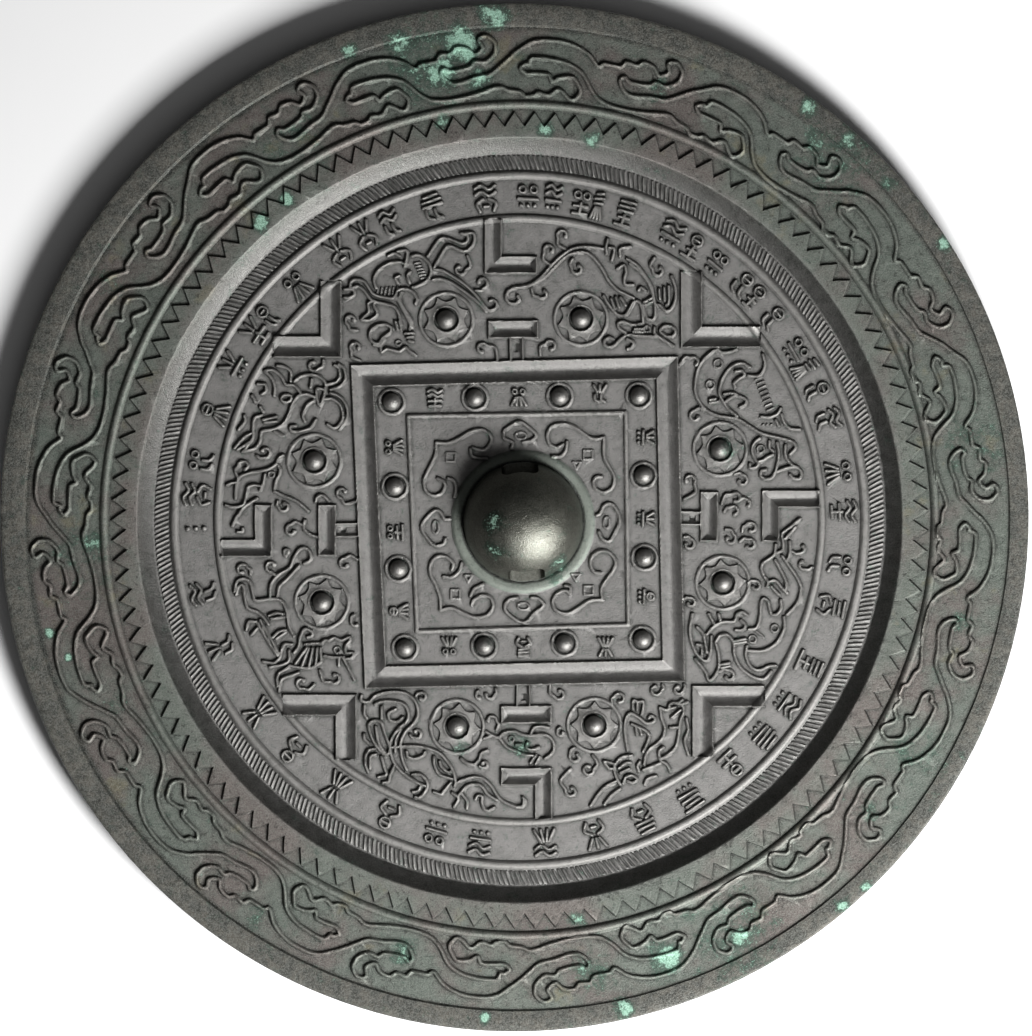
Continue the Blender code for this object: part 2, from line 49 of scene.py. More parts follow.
# Plate, rim and border
RIM_RADIUS = 100.0
BORDER_TOP = 5.3
RIM_GROUND = 4.8
FIELD_TOP = 2.6
FLAT_RADIUS = 30.0
FACE_RISE = 0.8
EDGE_BEVEL = 0.4
EDGE_SHOULDER = 0.12
EDGE_CLEARANCE = 0.02
# The border rises in a steep step, and the rest of its height is a soft crown
BORDER_INNER_RADIUS = 95.6
BORDER_CROWN_RADIUS = 98.5
BORDER_SLOPE = 0.25
BORDER_STEP_SHARE = 0.75
# The relief and the border are each turned about a point a little off the middle of the outline
RELIEF_CENTRE = (0.97, -0.52)
BORDER_CENTRE = (0.5, -0.15)

# Slope from the rim to the field, and the teeth on its brink
WALL_TOP_RADIUS = 74.5
WALL_FOOT_RADIUS = 71.2
WALL_BEND = 1.15
TOOTH_FOOT_RADIUS = 76.6
TOOTH_TIP_RADIUS = 79.4
TOOTH_TOP = 5.1
TOOTH_RECESS = 0.2
TOOTH_SLOPE = 0.3
TEETH = 125

# Raised rings: radius, half width and height
RIM_RIDGE = (80.8, 0.9, 0.5)
OUTER_RING = (67.2, 0.9, 0.55)
INNER_RING = (58.8, 0.8, 0.5)

# Comb of slanting strokes between the wall and the outer ring
COMB_STROKES = 468
COMB_INNER_RADIUS = 68.1
COMB_OUTER_RADIUS = 71.1
COMB_SLANT = 1.0
COMB_HEIGHT = 0.3
COMB_FADE = 0.3

# Knob and its cord hole
KNOB_CENTRE = (1.69, -0.89)
KNOB_RADIUS = 11.6
KNOB_HEIGHT = 11.0
KNOB_RING_RADIUS = 13.8
KNOB_RING_TOP = 0.45
KNOB_RING_SPREAD = 0.3
CORD_HOLE_WIDTH = 7.2
CORD_HOLE_HEIGHT = 5.4
CORD_HOLE_LIFT = 0.7
CORD_HOLE_ROUND = 1.4
CORD_HOLE_TURN = 3.5
CORD_HOLE_LENGTH = 3 * KNOB_RADIUS

# Square frame and the line square in it
SQUARE_CORNERS = ((-29.65, 27.55), (29.65, 29.15), (30.95, -29.85), (-27.1, -31.15))
SQUARE_BAND = 4.2
LINE_SQUARE_CORNERS = ((-20.7, 19.7), (21.6, 20.4), (22.1, -20.9), (-19.0, -22.2))

# Marks: their width, the raised lip along their edge, and the hollow between the lips
T_WIDTH = 3.3
L_WIDTH = 3.2
V_WIDTH = 4.0
LIP_HEIGHT = 0.6
LIP_WIDTH = 0.22
HOLLOW_SHARE = 0.145
HOLLOW_BEND = 1.6

# Nipples: radius and height of the dome, and the circles round it
LARGE_DOME = (1.9, 1.9)
LARGE_RING_RADIUS = 2.55
LARGE_RING_LINE = (0.4, 0.54)
LARGE_CIRCLE_RADIUS = 5.15
SMALL_DOME = (1.75, 1.6)
SMALL_RING_RADIUS = 2.4
RING_LINE = (0.42, 0.36)

# Star round a large nipple, the turn of the first and from one to the next, and the moat by the dome
STAR_POINTS = 8
STAR_HEIGHT = 0.36
STAR_GAP = 0.35
STAR_DIP = 1.2
STAR_BEND = 0.8
STAR_SLOPE = 0.16
STAR_TURNS = (0.5, 0.13)
MOAT_GAP = 0.2
MOAT_SLOPE = 0.25

# Drawn lines: half width and height of each kind, and how full their section is
FIGURE_LINE = (0.4, 0.55)
CURL_LINE = (0.38, 0.5)
TICK_LINE = (0.26, 0.3)
EYE_LINE = (0.26, 0.34)
LEAF_LINE = (0.42, 0.48)
BUD_LINE = (0.28, 0.28)
CORNER_LINE = (0.3, 0.28)
SQUARE_LINE = (0.5, 0.45)
SIGN_LINE = (0.4, 0.52)
SIGN_RING_LINE = (0.32, 0.52)
SIGN_PAIR_LINE = (0.3, 0.52)
SCROLL_LINE = (0.48, 0.58)
LINE_FULLNESS = 2.8

# Curls: their radius, how far they wind in, and the dot at their heart
CURL_RADIUS = 1.15
CURL_WINDING = (0.5, 1.5)
CURL_DOT = 0.5
CURL_STEPS = 9

# Cell and reach of the map of the relief
CELL = 0.1
SPAN = 101.0

# Fineness of the mesh, and how far out its circles keep to the middle of the relief
RING_STEP = 0.22
OUTER_COUNT = 3072
CENTRED_RADIUS = 84.0
MOST_TRIANGLES = 190000
SHARP_ANGLE = 32
HOLE_CORNER_STEPS = 4
# Circles of the reflecting face: their radius, and how many times coarser they are than the rim
FACE_CIRCLES = (
    (99.5, 1), (96, 2), (90, 4), (80, 8), (68, 16), (55, 16), (42, 32), (FLAT_RADIUS, 32), (12, 64),
)

AXIS = np.arange(-SPAN, SPAN + CELL / 2, CELL)
MAP_X, MAP_Y = np.meshgrid(AXIS, AXIS)
relief = np.zeros_like(MAP_X)


# The drawn relief, as heights over the ground on a square map

def window(low_x, high_x, low_y, high_y):
    """The slices of the map that cover a box."""
    cells = [
        int(np.clip(round((value + SPAN) / CELL), 0, len(AXIS) - 1))
        for value in (low_x, high_x, low_y, high_y)
    ]
    return np.s_[cells[2]:cells[3] + 1, cells[0]:cells[1] + 1]


def around(points, margin):
    """The slices of the map that cover these points with a margin."""
    xs = [point[0] for point in points]
    ys = [point[1] for point in points]
    return window(min(xs) - margin, max(xs) + margin, min(ys) - margin, max(ys) + margin)


def raise_to(part, height):
    """Lifts a part of the map to a height where that is higher, and leaves the rest of it, hollows too."""
    relief[part] = np.where(height > 0, np.maximum(relief[part], height), relief[part])


def rounded(share):
    """The section of a drawn line, from 1 on its back to 0 at its sharp feet."""
    return np.clip(1 - np.abs(share) ** LINE_FULLNESS, 0, 1)


def draw_line(points, size):
    """A raised line with a rounded back and sharp feet."""
    half_width, height = size
    for start, end in zip(points, points[1:]):
        part = around((start, end), half_width)
        x = MAP_X[part] - start[0]
        y = MAP_Y[part] - start[1]
        run_x = end[0] - start[0]
        run_y = end[1] - start[1]
        length = max(run_x * run_x + run_y * run_y, 1e-9)
        along = np.clip((x * run_x + y * run_y) / length, 0, 1)
        distance = np.hypot(x - along * run_x, y - along * run_y)
        raise_to(part, height * rounded(distance / half_width))


def smooth(points, closed=False, pieces=5):
    """A smooth line through the points."""
    points = [np.array(point, float) for point in points]
    if closed:
        row = [points[-1]] + points + points[:2]
    else:
        row = [2 * points[0] - points[1]] + points + [2 * points[-1] - points[-2]]
    line = []
    for a, b, c, d in zip(row, row[1:], row[2:], row[3:]):
        for step in range(pieces):
            t = step / pieces
            bend = (2 * a - 5 * b + 4 * c - d) * t * t + (3 * b - a - 3 * c + d) * t ** 3
            line.append(0.5 * (2 * b + (c - a) * t + bend))
    line.append(line[0] if closed else points[-1])
    return line


def draw_smooth(points, size):
    """A raised smooth line, closed where its last point is its first."""
    closed = points[0] == points[-1] and len(points) > 2
    draw_line(smooth(points[:-1] if closed else points, closed), size)


def draw_ring(centre, radius, size):
    """A raised circle."""
    half_width, height = size
    part = around([centre], radius + half_width)
    away = np.hypot(MAP_X[part] - centre[0], MAP_Y[part] - centre[1]) - radius
    raise_to(part, height * rounded(away / half_width))


def draw_dot(centre, radius, height):
    """A small raised dome."""
    part = around([centre], radius)
    away = np.hypot(MAP_X[part] - centre[0], MAP_Y[part] - centre[1])
    raise_to(part, height * np.sqrt(np.clip(1 - (away / radius) ** 2, 0, 1)))


def draw_curl(eye_x, eye_y, tail_x, tail_y, sweep):
    """A hooked curl that winds in from its tail round its eye. A positive sweep is anticlockwise."""
    reach = math.hypot(tail_x - eye_x, tail_y - eye_y)
    first = math.atan2(tail_y - eye_y, tail_x - eye_x)
    radius = min(CURL_RADIUS, 0.7 * reach)
    lead = math.copysign(math.acos(radius / reach), sweep)
    bulge = first + 0.6 * lead
    middle = (reach + radius) * 0.53
    points = [(tail_x, tail_y), (eye_x + middle * math.cos(bulge), eye_y + middle * math.sin(bulge))]
    tightness, bend = CURL_WINDING
    for step in range(CURL_STEPS + 1):
        share = step / CURL_STEPS
        angle = first + lead + (math.radians(sweep) - lead) * share
        away = radius * (1 - tightness * share ** bend)
        points.append((eye_x + away * math.cos(angle), eye_y + away * math.sin(angle)))
    draw_line(smooth(points, pieces=3), CURL_LINE)
    draw_dot(points[-1], CURL_DOT, CURL_LINE[1])


def draw_ticks(start, end, count, reach):
    """A row of short strokes from start to end, each running on by reach."""
    for index in range(count):
        share = index / (count - 1)
        x = start[0] + (end[0] - start[0]) * share
        y = start[1] + (end[1] - start[1]) * share
        draw_line(((x, y), (x + reach[0], y + reach[1])), TICK_LINE)


def draw_bar(path, width, closed=False, open_start=False, open_end=False):
    """A concave bar along a path of corners, mitred where it turns, with a raised lip all round.

    An open end has no lip and runs into what it meets.
    """
    half = width / 2
    corners = [np.array(corner, float) for corner in path]
    count = len(corners)
    part = around(corners, half + 1)
    x = MAP_X[part]
    y = MAP_Y[part]
    inward = np.full(x.shape, -SPAN)
    run_count = count if closed else count - 1
    runs = [corners[(index + 1) % count] - corners[index] for index in range(run_count)]
    runs = [run / np.hypot(run[0], run[1]) for run in runs]
    for index, run in enumerate(runs):
        start = corners[index]
        end = corners[(index + 1) % count]
        from_start = (x - start[0]) * run[0] + (y - start[1]) * run[1]
        from_end = (end[0] - x) * run[0] + (end[1] - y) * run[1]
        across = np.abs((y - start[1]) * run[0] - (x - start[0]) * run[1])
        inside = half - across
        keep = np.ones(x.shape, bool)
        if closed or index > 0:
            bend = runs[index - 1] + run
            keep &= (x - start[0]) * bend[0] + (y - start[1]) * bend[1] >= 0
        elif open_start:
            keep &= from_start >= 0
        else:
            inside = np.minimum(inside, from_start)
        if closed or index < run_count - 1:
            bend = run + runs[(index + 1) % run_count]
            keep &= (end[0] - x) * bend[0] + (end[1] - y) * bend[1] >= 0
        elif open_end:
            keep &= from_end >= 0
        else:
            inside = np.minimum(inside, from_end)
        inward = np.maximum(inward, np.where(keep, inside, -SPAN))
    flank = np.clip(inward / LIP_WIDTH + 1, 0, 1) * LIP_HEIGHT
    depth = np.clip((half - inward) / (half - LIP_WIDTH / 2), 0, 1)
    lowest = -HOLLOW_SHARE * width
    hollow = lowest + (LIP_HEIGHT - lowest) * depth ** HOLLOW_BEND
    relief[part] = np.where(inward > 0, hollow, np.maximum(relief[part], flank))


def on_circle(degrees, radius, centre=RELIEF_CENTRE):
    """The point at an angle and a radius about a centre."""
    angle = math.radians(degrees)
    return (centre[0] + radius * math.cos(angle), centre[1] + radius * math.sin(angle))


def about_relief(part=np.s_[:, :]):
    """The distance from the centre of the relief and the angle about it in degrees, on the map."""
    x = MAP_X[part] - RELIEF_CENTRE[0]
    y = MAP_Y[part] - RELIEF_CENTRE[1]
    return np.hypot(x, y), np.degrees(np.arctan2(y, x))


# Frame, marks and nipples

# Corners of the middle lines of the marks: crossbar and stem of each T, then each L, which begins
# at the inner ring, and each V, which begins and ends there
T_MARKS = (
    ((-5.1, 36.55), (4.5, 36.65), (0.3, 35.0), (0.4, 30.2)),
    ((-36.5, -7.4), (-36.5, 2.4), (-35.0, -2.5), (-30.4, -2.4)),
    ((37.9, 4.9), (37.8, -4.6), (36.2, -0.2), (32.4, -0.1)),
    ((-2.6, -38.4), (7.1, -38.3), (1.7, -36.7), (1.7, -32.6)),
)
T_STEM_WIDTH = 2.6
L_MARKS = (
    ((-4.2, 58.0), (-4.2, 49.1), (4.3, 49.1)),
    ((-57.2, -6.0), (-48.9, -6.0), (-48.9, 2.4)),
    ((59.2, 3.6), (49.8, 3.6), (49.8, -4.6)),
    ((5.6, -58.6), (5.6, -50.4), (-2.6, -50.4)),
)
V_MARKS = (
    ((-47.0, 33.2), (-35.75, 33.2), (-35.75, 46.0)),
    ((34.4, 47.8), (34.4, 35.1), (47.8, 35.1)),
    ((-45.2, -36.5), (-32.8, -36.5), (-32.8, -47.2)),
    ((36.6, -46.6), (36.6, -34.8), (48.6, -34.8)),
)


def draw_frame_and_marks():
    """The concave square, the line square in it and the T, L and V marks."""
    for left, right, stem_top, stem_foot in T_MARKS:
        draw_bar((stem_top, stem_foot), T_STEM_WIDTH, open_start=True, open_end=True)
        draw_bar((left, right), T_WIDTH)
    draw_bar(SQUARE_CORNERS, SQUARE_BAND, closed=True)
    draw_line(LINE_SQUARE_CORNERS + LINE_SQUARE_CORNERS[:1], SQUARE_LINE)
    for path in L_MARKS:
        draw_bar(path, L_WIDTH, open_start=True)
    for path in V_MARKS:
        draw_bar(path, V_WIDTH, open_start=True, open_end=True)


LARGE_NIPPLES = (
    (-13.3, 38.5), (12.9, 38.7), (40.0, 13.3), (40.5, -12.7),
    (15.5, -40.4), (-11.2, -40.7), (-37.5, -16.5), (-39.0, 11.0),
)
SMALL_NIPPLES = (
    (-23.9, 22.5), (-7.7, 23.3), (8.8, 23.6), (24.2, 23.7), (25.1, 8.2), (25.3, -7.8),
    (24.9, -23.7), (9.7, -24.5), (-5.9, -25.0), (-21.3, -25.4), (-22.6, -10.0), (-23.3, 6.0),
)


def draw_star(centre, turn):
    """The flat star round a large nipple, whose edges bend inwards between its points."""
    part = around([centre], LARGE_CIRCLE_RADIUS)
    x = MAP_X[part] - centre[0]
    y = MAP_Y[part] - centre[1]
    share = (np.arctan2(y, x) / math.tau * STAR_POINTS + turn) % 1
    reach = LARGE_CIRCLE_RADIUS - STAR_GAP - STAR_DIP * np.sin(math.pi * share) ** STAR_BEND
    edge = np.clip((reach - np.hypot(x, y)) / STAR_SLOPE, 0, 1)
    raise_to(part, STAR_HEIGHT * edge)


def draw_nipples():
    """The eight large nipples in their stars, and the twelve small ones along the square."""
    for index, centre in enumerate(LARGE_NIPPLES):
        draw_star(centre, STAR_TURNS[0] + STAR_TURNS[1] * index)
        draw_ring(centre, LARGE_CIRCLE_RADIUS, RING_LINE)
        draw_ring(centre, LARGE_RING_RADIUS, LARGE_RING_LINE)
        hollow_out(centre, LARGE_RING_RADIUS - MOAT_GAP)
        draw_dot(centre, *LARGE_DOME)
    for centre in SMALL_NIPPLES:
        draw_ring(centre, SMALL_RING_RADIUS, RING_LINE)
        draw_dot(centre, *SMALL_DOME)


def hollow_out(centre, radius):
    """Lowers a round place to the ground, as the moat between a nipple and its ring."""
    part = around([centre], radius)
    away = np.hypot(MAP_X[part] - centre[0], MAP_Y[part] - centre[1])
    relief[part] *= np.clip((away - radius) / MOAT_SLOPE + 1, 0, 1)


# Rim: cloud scroll and teeth

SCROLL_CENTRE = (0.0, -0.3)
CREST_ANGLES = (
    355.6, 333.3, 310.4, 288.2, 265.3, 243.2, 221.4, 198.4,
    175.4, 153.2, 130.0, 108.0, 85.2, 62.1, 39.9, 16.9,
)
# One wave of each line: degrees clockwise past the crest, and radius
SCROLL_OUTER = (
    (-4.3, 91.0), (-2.4, 92.9), (0.0, 93.3), (2.2, 92.8), (4.2, 91.4), (5.5, 89.5), (6.3, 90.2),
    (8.1, 90.2), (8.8, 91.4), (10.0, 91.2), (10.8, 92.2), (12.1, 91.8), (12.9, 90.6), (13.9, 91.8),
    (13.5, 93.4), (14.4, 94.1), (15.4, 92.7), (15.3, 90.6), (14.1, 89.0), (12.9, 89.2), (12.1, 88.2),
    (9.8, 87.8), (9.0, 88.5), (8.5, 87.7), (9.1, 86.1), (10.4, 85.3), (12.8, 86.1), (14.7, 86.6),
    (16.0, 88.1), (17.2, 89.7),
)
SCROLL_INNER = (
    (-3.0, 88.4), (-2.4, 89.7), (0.0, 89.6), (2.2, 88.9), (3.9, 87.4), (5.2, 84.7), (6.8, 82.9),
    (9.5, 82.3), (12.8, 82.9), (15.6, 84.0), (17.0, 83.3), (18.5, 83.0), (19.2, 82.2), (20.3, 82.4),
    (21.0, 83.0), (22.3, 82.6),
)
# The small cloud that hangs in from the inner line, in the same terms
SCROLL_CLOUD = (
    (22.3, 82.6), (23.6, 83.9), (24.9, 82.5), (25.7, 82.3), (26.4, 83.9), (25.9, 85.5), (25.1, 86.6),
    (23.6, 86.2), (22.6, 85.4), (22.1, 86.6), (20.6, 86.7), (19.3, 86.6), (18.5, 87.6), (19.2, 88.5),
)


def scroll_place(repeat, degrees, radius):
    """A point of one wave of the scroll, with the wave fitted between its crest and the next."""
    crest = CREST_ANGLES[repeat]
    following = CREST_ANGLES[(repeat + 1) % len(CREST_ANGLES)]
    step = (crest - following) % 360
    return on_circle(crest - degrees * step * len(CREST_ANGLES) / 360, radius, SCROLL_CENTRE)


def draw_scroll():
    """The cloud scroll that runs round the rim between two raised lines, one wave after another."""
    repeats = range(len(CREST_ANGLES))
    for line in (SCROLL_OUTER, SCROLL_INNER + SCROLL_CLOUD[1:]):
        points = [scroll_place(repeat, *place) for repeat in repeats for place in line]
        draw_line(smooth(points, closed=True), SCROLL_LINE)


def draw_teeth():
    """The raised plain band on the brink of the slope, whose outer edge is a row of teeth."""
    away, angle = about_relief()
    share = angle * TEETH / 360 % 1
    edge = TOOTH_FOOT_RADIUS + (TOOTH_TIP_RADIUS - TOOTH_FOOT_RADIUS) * (1 - np.abs(2 * share - 1))
    height = (TOOTH_TOP - RIM_GROUND + TOOTH_RECESS) * np.clip((edge - away) / TOOTH_SLOPE + 0.5, 0, 1)
    height[away < WALL_TOP_RADIUS] = 0
    raise_to(np.s_[:, :], height)


def draw_comb():
    """The fine slanting strokes at the foot of the slope."""
    away, angle = about_relief()
    slant = COMB_SLANT * (away - COMB_INNER_RADIUS) / (COMB_OUTER_RADIUS - COMB_INNER_RADIUS)
    wave = 0.5 + 0.5 * np.cos(np.radians((angle - slant) * COMB_STROKES))
    inner_end = np.clip((away - COMB_INNER_RADIUS) / COMB_FADE, 0, 1)
    outer_end = np.clip((COMB_OUTER_RADIUS - away) / COMB_FADE, 0, 1)
    raise_to(np.s_[:, :], COMB_HEIGHT * wave * (inner_end * outer_end))


# Signs: where the inscription stands, there are rows of strokes that form no letters

# Angles of the signs between the two rings, in degrees
RING_SIGNS = (
    1.5, 8.5, 18, 23.5, 28, 31.5, 38.5, 43.5, 46.5, 52.5, 57.5, 62, 71, 76, 79, 84, 88.5, 96, 105.5, 113.5,
    118.5, 124, 133.5, 141, 144.5, 151.5, 160.5, 169.5, 175.5, 193, 203, 216.5, 225.5, 235.5, 246, 255,
    263, 274.5, 283.5, 292.5, 301.5, 311, 318.5, 325.5, 333.5, 344.5, 352,
)
SIGN_RADIUS = 63.0
SIGN_LENGTH = 5.4
SIGN_BREADTHS = (2.2, 4.4)
SIGN_ROOM_SHARE = 0.66
SIGN_SEED = 7
# Three dots where the ring of signs begins
THREE_DOTS_ANGLE = 181.5
THREE_DOTS_RADII = (61.4, 63.0, 64.6)
THREE_DOTS_SIZE = 0.5
# Centres of the signs in the square, and the way their tops point in degrees
SQUARE_SIGNS = (
    (-15.5, 23.2, 90), (0.8, 23.6, 90), (16.6, 24.0, 90),
    (25.3, 15.6, 0), (25.3, -0.3, 0), (25.5, -15.4, 0),
    (17.7, -25.2, 270), (1.7, -25.2, 270), (-12.7, -25.2, 270),
    (-22.6, -18.3, 180), (-23.3, -2.9, 180), (-23.7, 13.6, 180),
)
SQUARE_SIGN_LENGTH = 3.6
SQUARE_SIGN_BREADTH = 3.0


def draw_sign(centre, top_angle, length, breadth, chance):
    """A group of raised strokes in the place of one written sign, made of an upper and a lower half."""
    up = np.array((math.cos(math.radians(top_angle)), math.sin(math.radians(top_angle))))
    side = np.array((up[1], -up[0]))

    def place(across, along):
        return tuple(np.array(centre) + side * across * breadth / 2 + up * along * length / 2)

    def stroke(*points):
        draw_line([place(*point) for point in points], SIGN_LINE)

    def bend(*points):
        draw_line(smooth([place(*point) for point in points]), SIGN_LINE)

    top = chance.choice(("ring", "bars", "waves", "petals", "pair"))
    if top == "ring":
        draw_ring(place(0, 0.52), 0.19 * length, SIGN_RING_LINE)
        stroke((-0.3, 0.52), (0.3, 0.52))
    elif top == "bars":
        for along in (0.2, 0.55, 0.9):
            reach = chance.uniform(0.5, 0.95)
            stroke((-reach, along - 0.05), (reach, along + 0.05))
    elif top == "waves":
        for along in (0.3, 0.75):
            bend((-0.9, along), (-0.3, along + 0.2), (0.3, along - 0.15), (0.9, along + 0.1))
    elif top == "petals":
        for across in (-0.8, 0.0, 0.8):
            stroke((across, 0.95), (across * 0.4, 0.25))
    else:
        for across in (-0.5, 0.5):
            draw_ring(place(across, 0.5), 0.12 * length, SIGN_PAIR_LINE)

    foot = chance.choice(("fan", "bars", "bows", "dots", "hooks"))
    if foot == "fan":
        for across in (-0.9, -0.3, 0.3, 0.9):
            stroke((across * 0.4, -0.1), (across, -0.95))
    elif foot == "bars":
        stroke((0, -0.05), (0, -0.85))
        for along in (-0.3, -0.85):
            reach = chance.uniform(0.5, 0.95)
            stroke((-reach, along), (reach, along + 0.06))
    elif foot == "bows":
        for turn in (-1, 1):
            bend((0.25 * turn, -0.05), (0.85 * turn, -0.4), (0.6 * turn, -0.95))
        stroke((-0.2, -0.6), (0.2, -0.6))
    elif foot == "dots":
        stroke((-0.85, -0.15), (0.85, -0.2))
        for across in (-0.6, 0.0, 0.6):
            draw_dot(place(across, -0.65), 0.42, SIGN_LINE[1])
    else:
        for across in (-0.7, 0.1):
            bend((across, -0.1), (across + 0.1, -0.6), (across + 0.55, -0.8))


def draw_signs():
    """The ring of signs between the two rings, and the twelve in the square."""
    chance = random.Random(SIGN_SEED)
    narrowest, broadest = SIGN_BREADTHS
    for index, angle in enumerate(RING_SIGNS):
        next_angle = RING_SIGNS[(index + 1) % len(RING_SIGNS)]
        room = math.radians((next_angle - angle) % 360) * SIGN_RADIUS
        breadth = min(broadest, max(narrowest, room * SIGN_ROOM_SHARE))
        draw_sign(on_circle(angle, SIGN_RADIUS), angle, SIGN_LENGTH, breadth, chance)
    for radius in THREE_DOTS_RADII:
        draw_dot(on_circle(THREE_DOTS_ANGLE, radius), THREE_DOTS_SIZE, SIGN_LINE[1])
    for x, y, top_angle in SQUARE_SIGNS:
        draw_sign((x, y), top_angle, SQUARE_SIGN_LENGTH, SQUARE_SIGN_BREADTH, chance)


# Figures, leaves and curls

